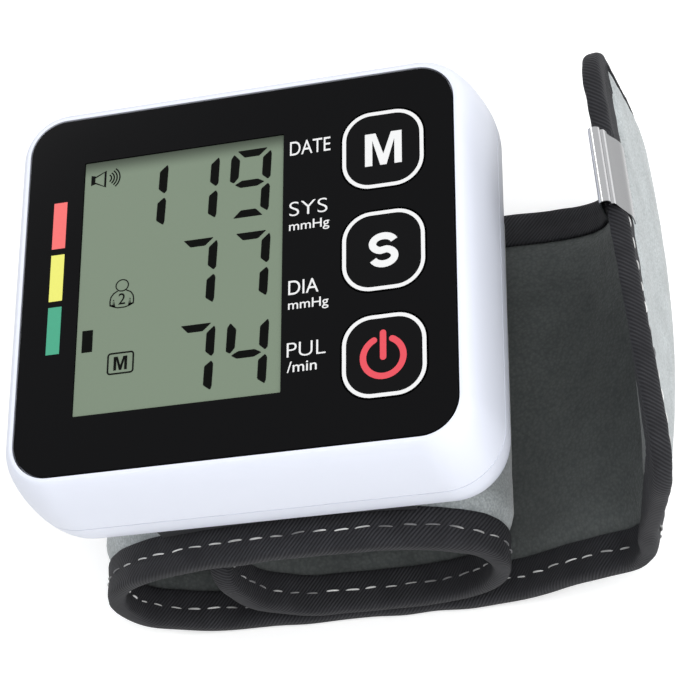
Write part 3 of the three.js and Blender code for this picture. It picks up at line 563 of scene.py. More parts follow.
def stroke(points, width, round_ends=True):
    """The outline of a pen stroke along a path."""
    path = [Vector(p) for p in points]
    left, right = [], []
    for k, p in enumerate(path):
        before = path[max(k - 1, 0)]
        after = path[min(k + 1, len(path) - 1)]
        along = (after - before).normalized()
        side = Vector((-along.y, along.x))
        turn = 1.0
        if 0 < k < len(path) - 1:
            a, b = (p - before).normalized(), (after - p).normalized()
            turn = min(1 / max(sqrt((1 + a.dot(b)) / 2), 0.4), 1.8)
        left.append(p + side * width / 2 * turn)
        right.append(p - side * width / 2 * turn)
    if not round_ends:
        return [tuple(v) for v in left + right[::-1]]
    ends = []
    for tip, inner in ((path[-1], path[-2]), (path[0], path[1])):
        d = (tip - inner).normalized()
        angle = degrees(atan2(d.y, d.x))
        ends.append(round_path(tip, width / 2, angle + 90, angle - 90, 8)[1:-1])
    return [tuple(v) for v in left] + ends[0] + [tuple(v) for v in right[::-1]] + ends[1]


def ring_outlines(width, height, corner, x, y, line):
    """Outer and inner outline of a rounded frame."""
    outlines = []
    for inset in (0, line):
        w, h, r = width / 2 - inset, height / 2 - inset, corner - inset
        outline = []
        for sx, sy, start in ((1, 1, 0), (-1, 1, 90), (-1, -1, 180), (1, -1, 270)):
            centre = (x + sx * (w - r), y + sy * (h - r))
            outline += round_path(centre, r, start, start + 90, 14)
        outlines.append(outline)
    return outlines


# Segments a to g in the usual order, clockwise from the top; e isn't lit.
segment_shares = {
    "a": [(0.15, 1), (0.89, 1), (0.69, 0.893), (0.33, 0.893)],
    "f": [(0.07, 0.955), (0.22, 0.86), (0.21, 0.6), (0.1, 0.525), (0, 0.56), (0, 0.89)],
    "b": [(0.97, 0.955), (1, 0.9), (1, 0.565), (0.94, 0.525), (0.79, 0.6), (0.79, 0.86)],
    "g": [(0.13, 0.495), (0.3, 0.548), (0.69, 0.548), (0.86, 0.495), (0.68, 0.445), (0.27, 0.445)],
    "c": [(0.95, 0.465), (1, 0.42), (1, 0.11), (0.97, 0.055), (0.79, 0.13), (0.79, 0.39)],
    "d": [(0.14, 0), (0.86, 0), (0.68, 0.107), (0.32, 0.107)],
}
figures = {"1": "bc", "4": "fbgc", "7": "abc", "9": "afbgcd"}
figure_width, figure_height, figure_pitch, figure_slant = 7.05, 12.42, 9.07, 0.5


def rounded_outline(points, radius):
    """Clips each corner with a short arc-like cut, as printed segments have."""
    result = []
    for k, p in enumerate(points):
        p = Vector(p)
        for other in (Vector(points[k - 1]), Vector(points[(k + 1) % len(points)])):
            away = other - p
            result.append(tuple(p + away.normalized() * min(radius, away.length * 0.4)))
        middle = (Vector(result[-1]) + Vector(result[-2]) + p) / 3
        result.insert(-1, tuple(middle))
    return result


display_ink, shader, tree = nodes_of("display_ink")
haze = noise(coords(tree), 400)
tint = two_tones((0.002, 0.0024, 0.002), (0.004, 0.0046, 0.004), haze)
wire(shader, {"Roughness": 0.45, "Specular IOR Level": 0.04, "Base Color": tint})
segments = []
for digits, top in (("119", 21.8), ("77", 6.51), ("74", -8.85)):
    for place_from_right, digit in enumerate(reversed(digits)):
        left = -0.86 - figure_pitch * place_from_right
        for part in figures[digit]:
            outline = [
                (left + x * figure_width - figure_slant * (1 - y), top - (1 - y) * figure_height)
                for x, y in segment_shares[part]
            ]
            segments.append(rounded_outline(outline, 0.16))
lcd_print("display_figures", segments)


def on_display(points):
    """From the display's own grid to millimetres on the panel."""
    return [(-28.03 + u * 0.042192, 24.7 - v * 0.0398) for u, v in points]


speaker = [on_display([(52, 88), (69, 92), (69, 130), (52, 135)])]
speaker += [on_display(stroke([(69, 99), (112, 76), (112, 148), (69, 125)], 6, False))]
for radius in (20, 32, 44, 56):
    speaker.append(on_display(stroke(round_path((118, 111), radius, -46, 46, 10), 5.4)))
lcd_print("speaker_sign", speaker)
user = [on_display(round_path((205, 622), r, 0, 360, 28)[:-1]) for r in (28, 23.5)]
for path in (
    [(172, 686), (172, 708), (158, 708), (157, 690), (160, 672), (170, 656), (186, 646)],
    [(224, 646), (242, 656), (252, 672), (255, 690), (254, 708), (240, 708), (240, 686)],
    [
        (240, 690), (237, 705), (234, 718), (220, 722),
        (190, 722), (178, 718), (175, 705), (172, 690),
    ],
):
    user.append(on_display(stroke(path, 4.6)))
lcd_print("user_sign", user)
(left, top), (right, bottom) = on_display([(157, 923), (267, 1020)])
lcd_print("memory_sign_frame", ring_outlines(
    right - left, top - bottom, 0.6, (left + right) / 2, (bottom + top) / 2, 0.27
))
lcd_print("scale_marker", [on_display([(48, 808), (92, 808), (92, 906), (48, 906)])])


def lettering(name, words, box, level, ink, slot, weight=0.0):
    """Generic words in a plain typeface, fitted to a box of left, bottom, right, top."""
    clear_selection()
    bpy.ops.object.text_add(location=(0, 0, 0))
    piece = bpy.context.object
    piece.name = name
    piece.data.body = words
    piece.data.size = 0.01
    piece.data.extrude = 0.02 * mm
    piece.data.offset = weight * mm
    bpy.ops.object.convert(target="MESH")
    piece = bpy.context.object
    piece.data.name = name
    points = np.array([v.co for v in piece.data.vertices])
    low, high = points.min(0), points.max(0)
    left, bottom, right, top = [v * mm for v in box]
    piece.scale = ((right - left) / (high[0] - low[0]), (top - bottom) / (high[1] - low[1]), 1)
    corner = (left - low[0] * piece.scale[0], bottom - low[1] * piece.scale[1])
    piece.location = (*corner, level * mm)
    fix_place()
    finish_piece(piece, ink, body, slot)


low, high = on_display([(192, 708), (220, 658)])
lettering("user_sign_number", "2", (*low, *high), ink_level, display_ink, "panel_black")

# ----------
# The words and the colour scale on the panel.
# Screen-printed white words for the three readings, and a red, yellow and
# green bar beside the display for how high the reading is.


def screen_ink(name, colour):
    material, shader, tree = nodes_of(name)
    mesh_print = noise(coords(tree), 1500)
    tint = two_tones([c * 0.93 for c in colour], colour, mesh_print)
    wire(shader, {"Roughness": 0.4, "Base Color": tint})
    return material


def panel_print(name, outlines, ink, rider=body):
    flat_print(name, outlines, print_level, 0.03, ink, rider, "white_case")


white_ink = screen_ink("white_screen_ink", (0.8, 0.8, 0.8))
print_level = panel_face + 0.012
for name, words, box, weight in (
    ("word_date", "DATE", (9.36, 19.42, 16.31, 21.99), 0.0),
    ("word_upper", "SYS", (9.36, 8.23, 15.83, 10.8), -0.11),
    ("unit_upper", "mmHg", (9.36, 5.08, 16.18, 7.23), 0.04),
    ("word_lower", "DIA", (9.36, -5.87, 14.42, -3.38), 0.0),
    ("unit_lower", "mmHg", (9.36, -8.98, 16.09, -6.82), 0.04),
    ("word_pulse", "PUL", (9.23, -16.77, 15.65, -14.28), -0.11),
    ("unit_pulse", "/min", (9.28, -19.38, 14.2, -17.52), 0.04),
):
    lettering(name, words, box, print_level, white_ink, "white_case", weight)
for name, colour, low, high in (
    ("scale_red", (0.86, 0.135, 0.13), 8.19, 16.79),
    ("scale_yellow", (0.78, 0.77, 0.14), -1.47, 7.04),
    ("scale_green", (0.04, 0.35, 0.205), -11.07, -2.56),
):
    corners = [(-32.25, low), (-29.88, low), (-29.88, high), (-32.25, high)]
    panel_print(name, [corners], screen_ink(name + "_ink", colour))

# ----------
# The three keys.
# Satin black caps flush with the panel, each with a printed white outline and
# a sign: M and S in white, the standby sign in red.
key_black = moulded_plastic(
    "key_satin_black", (0.005, 0.005, 0.0055), 0.2, 700.0, 0.004, 0.04, 0.07
)
red_ink = screen_ink("red_screen_ink", (0.74, 0.06, 0.085))
for label, y in zip(("memory", "set", "power"), key_rows):
    rider = label + "_key"
    cap = solid_plate(label + "_key_cap", 13.8, 14.1, 4.9, key_x, y, 2.2, 0, 16)
    cut_with(cap, solid_plate("flange", 15.4, 15.7, 5.7, key_x, y, 2.7, 1.9, 16), "UNION")
    cut_with(cap, round_cutter(2.6, panel_face - 3.3, panel_face - 2.3, key_x, y), "UNION")
    soften(cap, 0.1, 2, 50)
    finish_piece(cap, key_black, rider, "key_black", "key_" + label)
    ring = ring_outlines(13.7, 14.0, 4.85, key_x, y, 0.64)
    panel_print(label + "_key_outline", ring, white_ink, rider)
bold_em = [
    (0, 0), (0, 1), (0.29, 1), (0.5, 0.34), (0.71, 1), (1, 1), (1, 0), (0.8, 0), (0.8, 0.78),
    (0.585, 0), (0.415, 0), (0.2, 0.78), (0.2, 0),
]


def fitted(outline, left, bottom, right, top):
    return [(left + x * (right - left), bottom + y * (top - bottom)) for x, y in outline]


panel_print(
    "memory_key_letter", [fitted(bold_em, 22.2, 15.36, 28.4, 21.29)], white_ink, "memory_key"
)
ess_turns = [
    (0.5 + 0.5 * cos(radians(a)), middle + 0.265 * sin(radians(a)))
    for middle, angles in ((0.735, range(18, 256, 9)), (0.265, range(75, -165, -9)))
    for a in angles
]
ess_path = fitted(ess_turns, 22.77 + 0.62, -3.09 + 0.6, 27.69 - 0.62, 3.05 - 0.6)
panel_print("set_key_letter", [stroke(ess_path, 1.22, False)], white_ink, "set_key")
standby = [
    stroke(round_path((25.05, -18.55), 3.28, 117, 423, 48), 1.05),
    stroke([(25.05, -14.47), (25.05, -16.6), (25.05, -18.6)], 1.05),
]
em_low, em_high = on_display([(184, 1002), (239, 942)])
lcd_print("memory_sign_letter", [fitted(bold_em, *em_low, *em_high)])
panel_print("power_key_sign", standby, red_ink, "power_key")

# ----------
# The works inside the case and the plate under it.
# Board, pump, valve, sensor, cells and their tray stay as the solids have
# them, each in its own material; the cuff plate gets soft edges.
dark_plastic = moulded_plastic("dark_moulded_plastic", (0.035, 0.036, 0.039), 0.5, depth=0.03)
for material, names in (
    (
        moulded_plastic("inner_white_plastic", (0.72, 0.73, 0.73), 0.45),
        ("lcd_holder", "air_block", "air_hose", "air_nipple"),
    ),
    (dark_plastic, ("battery_tray", "pump_head", "pressure_sensor", "buzzer")),
    (
        moulded_plastic("grey_silicone_rubber", (0.06, 0.065, 0.07), 0.65),
        ("keypad_mat", "lcd_contact_strip"),
    ),
    (moulded_plastic("green_board_mask", (0.02, 0.13, 0.06), 0.3, 2000.0), ("circuit_board",)),
    (
        moulded_plastic("cell_sleeve_blue", (0.04, 0.09, 0.16), 0.3),
        ("battery_cell_outer", "battery_cell_inner"),
    ),
    (moulded_plastic("curled_stay_plastic", (0.58, 0.61, 0.62), 0.35), ("cuff_stay",)),
    (moulded_plastic("bladder_film", (0.09, 0.15, 0.22), 0.4, 500.0), ("air_bladder",)),
    (
        plated_steel("motor_plating", (0.6, 0.6, 0.61), 0.28, (1, 40, 1)),
        ("pump_motor", "exhaust_valve"),
    ),
    (
        plated_steel("contact_brass_strip", (0.72, 0.55, 0.25), 0.25, (1, 1, 20)),
        ("battery_bridge", "battery_terminal_outer", "battery_terminal_inner"),
    ),
):
    for name in names:
        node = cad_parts[name]
        node.data.materials.clear()
        node.data.materials.append(material)
plate = new_piece("cuff_plate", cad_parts["cuff_mount_plate"].data.copy())
plate.data.name = "cuff_plate"
edit_all(plate)
bpy.ops.mesh.remove_doubles(threshold=0.002 * mm)
bpy.ops.mesh.dissolve_limited(angle_limit=radians(0.5))
bpy.ops.object.mode_set(mode="OBJECT")
soften(plate, 0.25, 2, 40)
finish_piece(plate, dark_plastic, body, "dark_plastic", "cuff_mount_plate")

# ----------
# The cuff's path.
# One strap, 76 mm wide, that curls from the flap inside the loop over the top
# under the case, round the left side and along the table to the tail.
floor_level = 1.75
strap_half = 1.75
bladder_half = 2.25
cloth_half = 0.95
cloth = 0.8
strap_width = 76.0
stitch_pitch = 3.7
strap_shift = -1.45
loop_half = 37.6
flap_level = 5.55
cuff_rise = 31.6
top_level = flap_level + cuff_rise
tail_reach = 67.0
tail_height = 57.3
tail_bulge = 5.0
edge_turn = 0.7
corner_lift = 0.8
flap_shares = [
    (-0.426, 0.8), (-0.415, 0.511), (-0.375, 0.225), (-0.24, 0.048), (0, 0), (0.266, 0),
    (0.532, 0.033), (0.718, 0.148), (0.834, 0.34), (0.866, 0.557), (0.804, 0.76),
    (0.672, 0.896), (0.465, 0.97), (0.106, 1), (-0.266, 0.975), (-0.532, 0.92),
]
turn_shares = [
    (-0.758, 0.845), (-0.92, 0.6875), (-1, 0.465), (-0.979, 0.243), (-0.838, 0.085),
    (-0.638, 0.0125), (-0.426, 0), (0, 0), (0.426, 0),
]
tail_shares = [
    (0.358, 0.006, 0.358, 0), (0.482, 0.036, 0.499, 0.014), (0.598, 0.117, 0.653, -0.002),
    (0.709, 0.183, 0.759, 0.048), (0.806, 0.229, 0.806, 0.181), (0.854, 0.327, 0.846, 0.351),
    (0.875, 0.472, 0.898, 0.549), (0.925, 0.678, 0.898, 0.793), (1, 1.001, 0.868, 1.085),
]
hinge_row = len(flap_shares) + len(turn_shares) + 3
last_row = len(flap_shares) + len(turn_shares) + len(tail_shares) - 1


def strap_edge(side):
    points = [(x * loop_half, flap_level + z * cuff_rise) for x, z in flap_shares]
    rise = top_level - floor_level
    points += [(x * loop_half, floor_level + z * rise) for x, z in turn_shares]
    lift = tail_height - floor_level
    for row in tail_shares:
        x, z = row[:2] if side < 0 else row[2:]
        points.append((x * tail_reach, floor_level + z * lift))
    return np.array([(x, side * strap_width / 2, z) for x, z in points])


def along_edge(points, rows):
    """Centripetal curve through the points, straight on past both ends."""
    rows = np.asarray(rows, float)
    inside = np.clip(rows, 0, last_row)
    padded = np.vstack([2 * points[0] - points[1], points, 2 * points[-1] - points[-2]])
    first = np.minimum(inside.astype(int), last_row - 1)
    t = (inside - first)[:, None]
    p0, p1, p2, p3 = (padded[first + k] for k in range(4))
    d0, d1, d2 = (
        np.sqrt(np.linalg.norm(b - a, axis=1))[:, None] for a, b in ((p0, p1), (p1, p2), (p2, p3))
    )
    t1 = ((p1 - p0) / d0 - (p2 - p0) / (d0 + d1) + (p2 - p1) / d1) * d1
    t2 = ((p2 - p1) / d1 - (p3 - p1) / (d1 + d2) + (p3 - p2) / d2) * d1
    place = p1 + t1 * t + (3 * (p2 - p1) - 2 * t1 - t2) * t**2 + (2 * (p1 - p2) + t1 + t2) * t**3
    beyond = (rows - inside)[:, None]
    if np.any(beyond):
        slope_start = (along_edge(points, [0.05]) - points[:1]) / 0.05
        slope_end = (points[-1:] - along_edge(points, [last_row - 0.05])) / 0.05
        place = place + np.where(beyond < 0, slope_start, slope_end) * beyond
    return place


near_edge, far_edge = strap_edge(-1), strap_edge(1)


def smooth(x, low, high):
    t = np.clip((x - low) / (high - low), 0, 1)
    return t * t * (3 - 2 * t)


def hill(x, low, full, fade, end):
    """Rises from 0 to 1, and falls to 0 again."""
    return smooth(x, low, full) * (1 - smooth(x, fade, end))


def strap_middle(rows, ys):
    """The strap's middle surface; the tail bulges outwards, and its far edge and corner turn."""
    share = (0.5 + ys / strap_width)[:, None]
    point = along_edge(near_edge, rows) * (1 - share) + along_edge(far_edge, rows) * share
    peak = hinge_row + 2
    bulge = tail_bulge * hill(rows, hinge_row, peak, peak, last_row)
    point[:, 0] += bulge * (1 - (2 * ys / strap_width) ** 2)
    point[:, 1] += strap_shift
    turned = hill(rows, last_row - 4, last_row - 2, last_row - 0.9, last_row)
    point[:, 0] -= edge_turn * turned * smooth(ys, 31, 38)
    point[:, 2] += corner_lift * smooth(rows, last_row - 1, last_row) * smooth(ys, 20, 38)
    point[:, 2] = np.maximum(point[:, 2], floor_level)
    return point


def strap_frame(rows, ys):
    """Point, outward normal and direction along the strap, for rows and sideways places."""
    shape = np.broadcast_shapes(np.shape(rows), np.shape(ys))
    rows, ys = (np.broadcast_to(v, shape).ravel().astype(float) for v in (rows, ys))
    step = 0.03
    point = strap_middle(rows, ys)
    span = strap_middle(rows + step, ys) - strap_middle(rows - step, ys)
    across = along_edge(far_edge, rows) - along_edge(near_edge, rows)
    out = np.cross(across, span)
    out /= np.linalg.norm(out, axis=1)[:, None]
    span /= np.linalg.norm(span, axis=1)[:, None]
    return [v.reshape(*shape, 3) for v in (point, out, span)]


def strap_place(rows, ys, heights):
    point, out, _ = strap_frame(rows, ys)
    return point + out * np.asarray(heights, float)[..., None]


def lengths_along(points):
    return np.concatenate([[0], np.cumsum(np.linalg.norm(np.diff(points, axis=0), axis=1))])


fine_rows = np.linspace(-1, last_row + 1, 4000)
fine_length = lengths_along(strap_frame(fine_rows, np.zeros_like(fine_rows))[0])
fine_length -= np.interp(0, fine_rows, fine_length)
strap_length = float(np.interp(last_row, fine_rows, fine_length))
hinge_length = float(np.interp(hinge_row, fine_rows, fine_length))


def row_at(length):
    return np.interp(length, fine_length, fine_rows)


def outer_leg(lengths, ys):
    """How much of its width the edge tape keeps outside; it sits unevenly on the tail."""
    narrow = hill(lengths - strap_length, -80, -40, -8, -2.5)
    return 1 - 0.97 * narrow * smooth(ys, 24, 32)


def ripple(a, b, seed):
    """Slow uneven swell of sewn cloth, between -1 and 1."""
    wave = np.random.default_rng(seed)
    total = np.zeros_like(a)
    for _ in range(7):
        fa, fb, phase = wave.uniform(0.02, 0.16), wave.uniform(-0.12, 0.12), wave.uniform(0, 6.28)
        total += np.sin(a * fa * 6.28 + b * fb * 6.28 + phase)
    return total / 7


def quads(grid):
    """The four corners of each square of a grid."""
    return np.stack([grid[:-1, :-1], grid[:-1, 1:], grid[1:, 1:], grid[1:, :-1]], -1)


def mesh_piece(name, points, faces):
    mesh = bpy.data.meshes.new(name)
    mesh.from_pydata((points.reshape(-1, 3) * mm).tolist(), [], faces)
    return new_piece(name, mesh)


def grid_mesh(name, points, closed_across=False, closed_along=False, uv=None):
    """A mesh from a grid of points in millimetres, rows along and columns across."""
    n, m = points.shape[:2]
    index = np.arange(n * m).reshape(n, m)
    u, v = uv or (index, index)
    if closed_along:
        index = np.vstack([index, index[:1]])
        u, v = np.vstack([u, 2 * u[-1:] - u[-2:-1]]), np.vstack([v, v[:1]])
    if closed_across:
        index = np.hstack([index, index[:, :1]])
        u, v = np.hstack([u, u[:, :1]]), np.hstack([v, 2 * v[:, -1:] - v[:, -2:-1]])
    piece = mesh_piece(name, points, quads(index).reshape(-1, 4).tolist())
    if uv is not None:
        corners = np.stack([quads(u).ravel(), quads(v).ravel()], -1)
        layer = piece.data.uv_layers.new(name="cloth_uv")
        layer.data.foreach_set("uv", corners.ravel().astype(np.float32))
    piece.data.update()
    return piece


fold_near, fold_far = strap_middle(np.full(2, float(hinge_row)), np.array([-38.0, 38.0]))
fold_across = np.array([fold_far[1] - fold_near[1], fold_near[0] - fold_far[0], 0])
fold_across /= np.linalg.norm(fold_across)


def bends_at_fold(piece):
    """Bakes the piece's placing into its mesh."""
    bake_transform(piece)


def face_outwards(piece):
    edit_all(piece)
    bpy.ops.mesh.normals_make_consistent(inside=False)
    bpy.ops.object.mode_set(mode="OBJECT")
    bpy.ops.object.shade_smooth()


# ----------
# The cuff's two cloths and the foam between them.
# Light grey looped fleece outside and dark brushed lining inside, each cut from
# one length and sewn into the edge tape; thin foam in the flap, floor and tail.


def from_ends(lengths):
    return np.minimum(lengths, strap_length - lengths)


def cloth_height(lengths, rows, ys, side):
    """Cloth is flat at the tape, and swells between the tapes."""
    from_side = strap_width / 2 - np.abs(ys)
    if side > 0:
        from_side = from_side + 6.6 * (1 - outer_leg(lengths, ys))
    swell_side = smooth(from_side, 6.4, 10.6)
    swell_end = smooth(from_ends(lengths), 6.4, 10.8)
    full = strap_half + (bladder_half - strap_half) * hill(rows, 4.8, 6.4, 19.4, 21.0)
    height = cloth_half + (full - cloth_half) * swell_side * swell_end
    pucker = np.sin(lengths * 6.28 / stitch_pitch + ys * 0.4) * 0.07
    return height + pucker * hill(from_side, 6.5, 8, 8, 13) * swell_end


def cloth_sheet(name, side, columns=77):
    margin = 0.8
    end_radius = 8.2
    lengths = np.arange(margin, strap_length - margin + 0.01, 1.0)
    lengths[-1] = strap_length - margin
    shares = np.linspace(-1, 1, columns)
    over = np.clip(end_radius + margin - from_ends(lengths), 0, end_radius)
    half_width = strap_width / 2 - margin - (end_radius - np.sqrt(end_radius**2 - over**2))
    ys = half_width[:, None] * shares[None, :]
    lengths = np.repeat(lengths[:, None], columns, 1)
    rows = row_at(lengths)
    height = cloth_height(lengths, rows, ys, side)
    inside = 0.25 if side < 0 else 0.12
    wave = ripple(lengths, ys, 11 + side) * inside
    free = smooth(strap_width / 2 - np.abs(ys), 8, 16) * smooth(from_ends(lengths), 8, 16)
    height = height - np.abs(wave) * free
    if side > 0:
        on_floor = (rows > 21.5) & (rows < 26.5)
        height = np.where(on_floor, np.minimum(height, strap_half), height)
    points = strap_place(rows, ys, side * height)
    points[..., 2] = np.maximum(points[..., 2], 0.02)
    piece = grid_mesh(name, points, uv=(lengths * mm, ys * mm))
    change(piece, "SOLIDIFY", thickness=cloth * 0.9 * mm, offset=-side)
    face_outwards(piece)
    return piece


def looped_cloth(name, dark, light, loop_scale, bump_depth, sheen):
    """Cloth with small loops or nap: cells of yarn, clumps of nap and worn patches."""
    material, shader, tree = nodes_of(name)
    place = coords(tree, "UV")
    loops = add_node(tree, "TexVoronoi", {"Scale": loop_scale, "Vector": place})
    nap = noise(place, loop_scale * 0.8, 8, 0.7)
    clumps = noise(place, 130, 6)
    mix_height = add_node(tree, "Math", {1: -0.8, 0: loops, 2: nap}, operation="MULTIPLY_ADD")
    shade = spread(mix_height, -0.15, 0.85)
    patch = spread(clumps, 0.35, 0.65, 0.86, 1.06)
    tint = two_tones(dark, light, shade)
    toned = add_node(tree, "VectorMath", {0: tint, "Scale": patch}, operation="SCALE")
    bump = bumps(mix_height, 0.7, bump_depth)
    wire(shader, {
        "Roughness": 0.95, "Sheen Weight": sheen, "Sheen Roughness": 0.5, "Base Color": toned,
        "Normal": bump,
    })
    return material


grey_fleece = looped_cloth(
    "light_grey_fleece", (0.32, 0.348, 0.353), (0.6, 0.638, 0.648), 2600, 0.12, 0.25
)
dark_lining = looped_cloth(
    "dark_brushed_lining", (0.076, 0.084, 0.083), (0.133, 0.144, 0.14), 1700, 0.2, 0.12
)
outer_cloth = cloth_sheet("cuff_fleece", 1)
lining = cloth_sheet("cuff_lining_cloth", -1)
for piece, material, slot, nodes in (
    (outer_cloth, grey_fleece, "outer_cloth", ("cuff_outer_cloth", "tail_outer_cloth")),
    (lining, dark_lining, "lining_cloth", ("cuff_lining", "tail_lining")),
):
    piece.data.materials.append(material)
    bends_at_fold(piece)
    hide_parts(*nodes)


def foam_sheet(name, start, end, replaced):
    across = np.linspace(-1, 1, 21) * (strap_width / 2 - 13)
    lengths = np.arange(start, end, 1.5)[:, None]
    lengths, ys = np.broadcast_arrays(lengths, np.concatenate([across, across[::-1]]))
    heights = 0.62 * np.repeat([1, -1], 21) * (1 + 0.04 * ripple(lengths * 3, ys * 3, 5))
    piece = grid_mesh(name, strap_place(row_at(lengths), ys, heights), closed_across=True)
    open_edges(piece)
    bpy.ops.mesh.fill_holes(sides=0)
    outward_normals()
    piece.data.materials.append(open_foam)
    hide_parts(*replaced)
    return piece


open_foam, shader, tree = nodes_of("thin_open_foam")
pores = add_node(tree, "TexVoronoi", {"Scale": 1800, "Vector": coords(tree)})
tint = two_tones((0.1, 0.105, 0.11), (0.2, 0.205, 0.21), pores)
wire(shader, {"Roughness": 0.95, "Base Color": tint})
flap_foam = foam_sheet("flap_foam_layer", 14.0, 52.0, ("flap_foam",))
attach(flap_foam, body)
floor_start = float(np.interp(21.6, fine_rows, fine_length))
tail_foam = foam_sheet(
    "floor_foam_layer", floor_start, strap_length - 11.5, ("floor_foam", "tail_foam")
)
bends_at_fold(tail_foam)

# ----------
# The edge tape and its stitching.
# Black ribbed tape folded over every edge of the cuff in one run, and held by
# a row of white thread that dips in and out on both faces.


def tape_route(pitch, r=9.0):
    """Places round the strap's outline: length, y, and the inward direction."""
    low, high, half = r, strap_length - r, strap_width / 2 - r
    centres = [(low, -half), (high, -half), (high, half), (low, half), (low, -half)]
    route = []
    for k, (out_s, out_y) in enumerate(((0, -1), (1, 0), (0, 1), (-1, 0))):
        (s0, y0), (s1, y1) = centres[k:k + 2]
        count = max(int(hypot(s1 - s0, y1 - y0) / pitch), 2)
        for t in np.arange(count) / count:
            place = (s0 + (s1 - s0) * t + r * out_s, y0 + (y1 - y0) * t + r * out_y)
            route.append((*place, -out_s, -out_y))
        count = max(int(r * pi / 2 / pitch), 6)
        for t in np.arange(count) / count:
            a = radians(90 * (k - 1 + t))
            route.append((s1 + r * cos(a), y1 + r * sin(a), -cos(a), -sin(a)))
    return np.array(route)


def on_route(route, depth, height):
    """A place at a depth inside the edge and a height above the strap's middle."""
    lengths = route[:, 0] + route[:, 2] * depth
    ys = route[:, 1] + route[:, 3] * depth
    return strap_place(row_at(lengths), ys, height)


route = tape_route(0.8)
run = lengths_along(on_route(route, 0, np.zeros(len(route))))
half_round = [
    (1.35 * (1 - sin(a) ** 0.7), 1.62 * copysign(abs(cos(a)) ** 0.7, cos(a)))
    for a in np.linspace(0.001, pi - 0.001, 15)
]
outside = [
    (6.95, 1.02), (6.95, 1.45), (6.75, 1.62), (6.3, 1.66), (5.2, 1.6), (4.3, 1.54), (3.6, 1.46),
    (2.9, 1.55), (2.2, 1.62),
]
profile = outside + half_round + [(d, -h) for d, h in outside[::-1]]
inner_back = [
    (6.6, -0.98), (4.0, -0.96), (1.6, -0.9), (1.1, 0.0), (1.6, 0.9), (4.0, 0.96), (6.6, 0.98),
]
leg = outer_leg(route[:, 0], route[:, 1])
clip_y, clip_width = 13.2, 13.6
from_clip = np.abs(route[:, 1] - clip_y) - clip_width / 2
pinch = (route[:, 2] == -1) * (1 - smooth(from_clip, -0.4, 1))
columns = []
for depth, height in profile + inner_back:
    wobble = 0.22 * ripple(run * 1.3, np.full_like(run, depth), 3)
    wobble += 0.05 * np.sin(run * 6.28 / stitch_pitch)
    flex = 1 + wobble * (0.35 if abs(height) > 1.2 else 0.0)
    inset = depth + 0.22 * ripple(run * 0.8, np.full_like(run, 2.0), 8)
    level = height * flex
    if height > 0:
        inset = np.where(depth > 1.6, 1.6 + (inset - 1.6) * leg, inset)
        under_clip = np.interp(depth, [0, 1.2, 2.4, 3.6], [0.25, 0.5, 1.1, 1.62])
        level = np.minimum(level, under_clip + 3 * (1 - pinch))
    columns.append(on_route(route, inset, level))
points = np.stack(columns, 1)
points[..., 2] = np.maximum(points[..., 2], 0.03)
around = lengths_along(profile + inner_back)
edge_tape = grid_mesh(
    "cuff_edge_tape", points, closed_across=True, closed_along=True,
    uv=np.broadcast_arrays(run[:, None] * mm, around * mm),
)
tape_black, shader, tree = nodes_of("black_ribbed_tape")
place = coords(tree, "UV")
slant = add_node(tree, "Mapping", {"Rotation": (0, 0, radians(38)), "Vector": place})
ribs = add_node(tree, "TexWave", {
    "Scale": 560, "Distortion": 0.6, "Detail": 2, "Detail Scale": 2.0, "Vector": slant,
}, wave_type="BANDS", bands_direction="X").outputs["Fac"]
worn = noise(place, 220, 6)
# Lighter tone on the ribs: partly the weave's own pattern, partly a painted highlight on the rib
# tops.
rib_tone_and_highlight = add_node(tree, "Math", {0: ribs, 1: worn}, operation="MULTIPLY")
tint = two_tones((0.009, 0.009, 0.011), (0.05, 0.05, 0.057), rib_tone_and_highlight)
bump = bumps(ribs, 0.8, 0.12)
wire(shader, {
    "Roughness": 0.72, "Sheen Weight": 0.02, "Specular IOR Level": 0.25, "Base Color": tint,
    "Normal": bump,
})
edge_tape.data.materials.append(tape_black)
face_outwards(edge_tape)
bends_at_fold(edge_tape)
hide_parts("edge_tape_near", "edge_tape_far", "flap_end_tape", "tail_edge_tape")


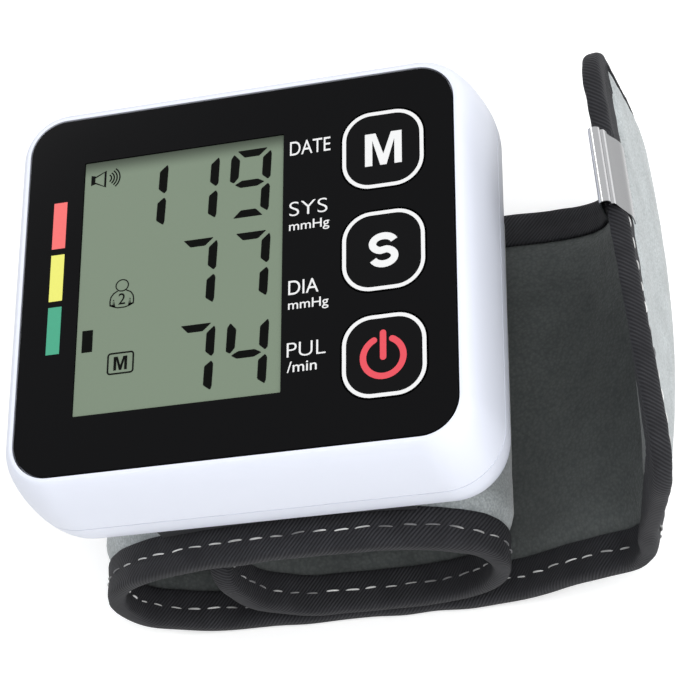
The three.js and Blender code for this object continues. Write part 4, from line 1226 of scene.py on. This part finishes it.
def stitch_row(name, depth, side, seed):
    """Short raised stitches with sunk ends, uneven as machine sewing over thick cloth is."""
    chance = np.random.default_rng(seed)
    angles = (np.arange(6) * pi / 3)[:, None]
    thin = np.array([0.5, 0.95, 1, 1, 0.95, 0.5])
    verts, faces = [], []
    for start in np.arange(1.0, run[-1] - 2, stitch_pitch):
        long = chance.uniform(2.1, 2.8)
        radius = chance.uniform(0.13, 0.2)
        shift = chance.uniform(-0.14, 0.14)
        slantwise = chance.uniform(-0.16, 0.16)
        at = start + np.linspace(0, 1, 6) * long
        place = np.stack([np.interp(at, run, route[:, k]) for k in range(4)], 1)
        if side > 0 and place[0, 0] > strap_length - 60 and place[0, 1] > 3.5:
            continue
        bare_from = strap_length - 140 if place[0, 1] > 25 else hinge_length + 9
        if side < 0 and place[0, 0] > bare_from:
            continue
        rise = np.array([-0.2, 0.06, 0.13, 0.13, 0.06, -0.2])
        deep = depth + shift + slantwise * np.linspace(-1, 1, 6)
        deep = deep - 2.4 * smooth(-place[:, 2] * side, 0.3, 1)
        lengths = place[:, 0] + place[:, 2] * deep
        ys = place[:, 1] + place[:, 3] * deep
        centre, out, _ = strap_frame(row_at(lengths), ys)
        centre = centre + out * (side * (1.53 + rise))[:, None]
        along = np.gradient(centre, axis=0)
        along /= np.linalg.norm(along, axis=1)[:, None]
        across = np.cross(out, along)
        index = len(verts) * 36 + np.arange(36).reshape(6, 6)
        faces += quads(np.hstack([index, index[:, :1]])).reshape(-1, 4).tolist()
        faces += [index[0, ::-1].tolist(), index[5].tolist()]
        ring = np.cos(angles) * across[:, None] + np.sin(angles) * out[:, None]
        verts.append(centre[:, None] + ring * (radius * thin)[:, None, None])
    verts = np.concatenate(verts)
    verts[..., 2] = np.maximum(verts[..., 2], 0.01)
    piece = mesh_piece(name, verts, faces)
    face_outwards(piece)
    piece.data.materials.append(white_thread)
    bends_at_fold(piece)


white_thread, shader, tree = nodes_of("white_sewing_thread")
soiled = spread(noise(coords(tree), 90, 3), 0.42, 0.64)
tint = two_tones((0.16, 0.16, 0.165), (0.78, 0.78, 0.77), soiled)
wire(shader, {"Roughness": 0.6, "Base Color": tint})
stitch_row("stitches_outside", 3.6, 1, 21)
stitch_row("stitches_inside", 3.6, -1, 22)

# ----------
# The metal clip on the tail's end.
# Plated sheet folded over the tape, with a rolled open bead at the strap's end.
# Sheet and bead are one steel in two copies: a darker one on the sheet, painted
# shade, and a brighter one on the bead, a painted highlight.
clip_point, clip_out, clip_along = strap_frame(row_at(strap_length - 3.75), clip_y)
clip_point = clip_point + clip_along * 3.75
bead, bead_radius = (2.2, -1.05), 0.85
clip_line = [
    (-6.9, 1.93), (-5.6, 2.02), (-4.4, 2.0), (-3.7, 1.9), (-3.1, 1.7), (-1.6, 1.22), (0.0, 0.74),
    (1.2, 0.42), (1.55, 0.25), (1.66, -0.1),
]
clip_line += round_path(bead, bead_radius, 140, -90, 25)
clip_line += [(0.5, -1.93), (-0.4, -1.9), (-4.2, -1.82)]
clip = drawn("tail_end_clip_sheet", [clip_line], clip_width, filled=False)
change(clip, "SOLIDIFY", thickness=0.24 * mm, offset=0)
soften(clip, 0.05, 1, 50)
# The bead's faces get the brighter copy of the steel: a painted highlight.
bead_highlight_faces = [face.center.x > 1.4 * mm for face in clip.data.polygons]
clip.data.transform(placing(clip_along, clip_out, np.cross(clip_along, clip_out), clip_point * mm))
clip_sheet_steel = plated_steel("clip_sheet_plating", (0.29, 0.29, 0.295), 0.16, (1, 8, 1), 300)
finish_piece(clip, clip_sheet_steel, "strap_tail", "clip_steel", "tail_end_clip", angle=30)
clip.data.materials.append(
    plated_steel("clip_bead_painted_highlight", (0.66, 0.66, 0.67), 0.12, (1, 8, 1), 300)
)
clip.data.polygons.foreach_set("material_index", bead_highlight_faces)
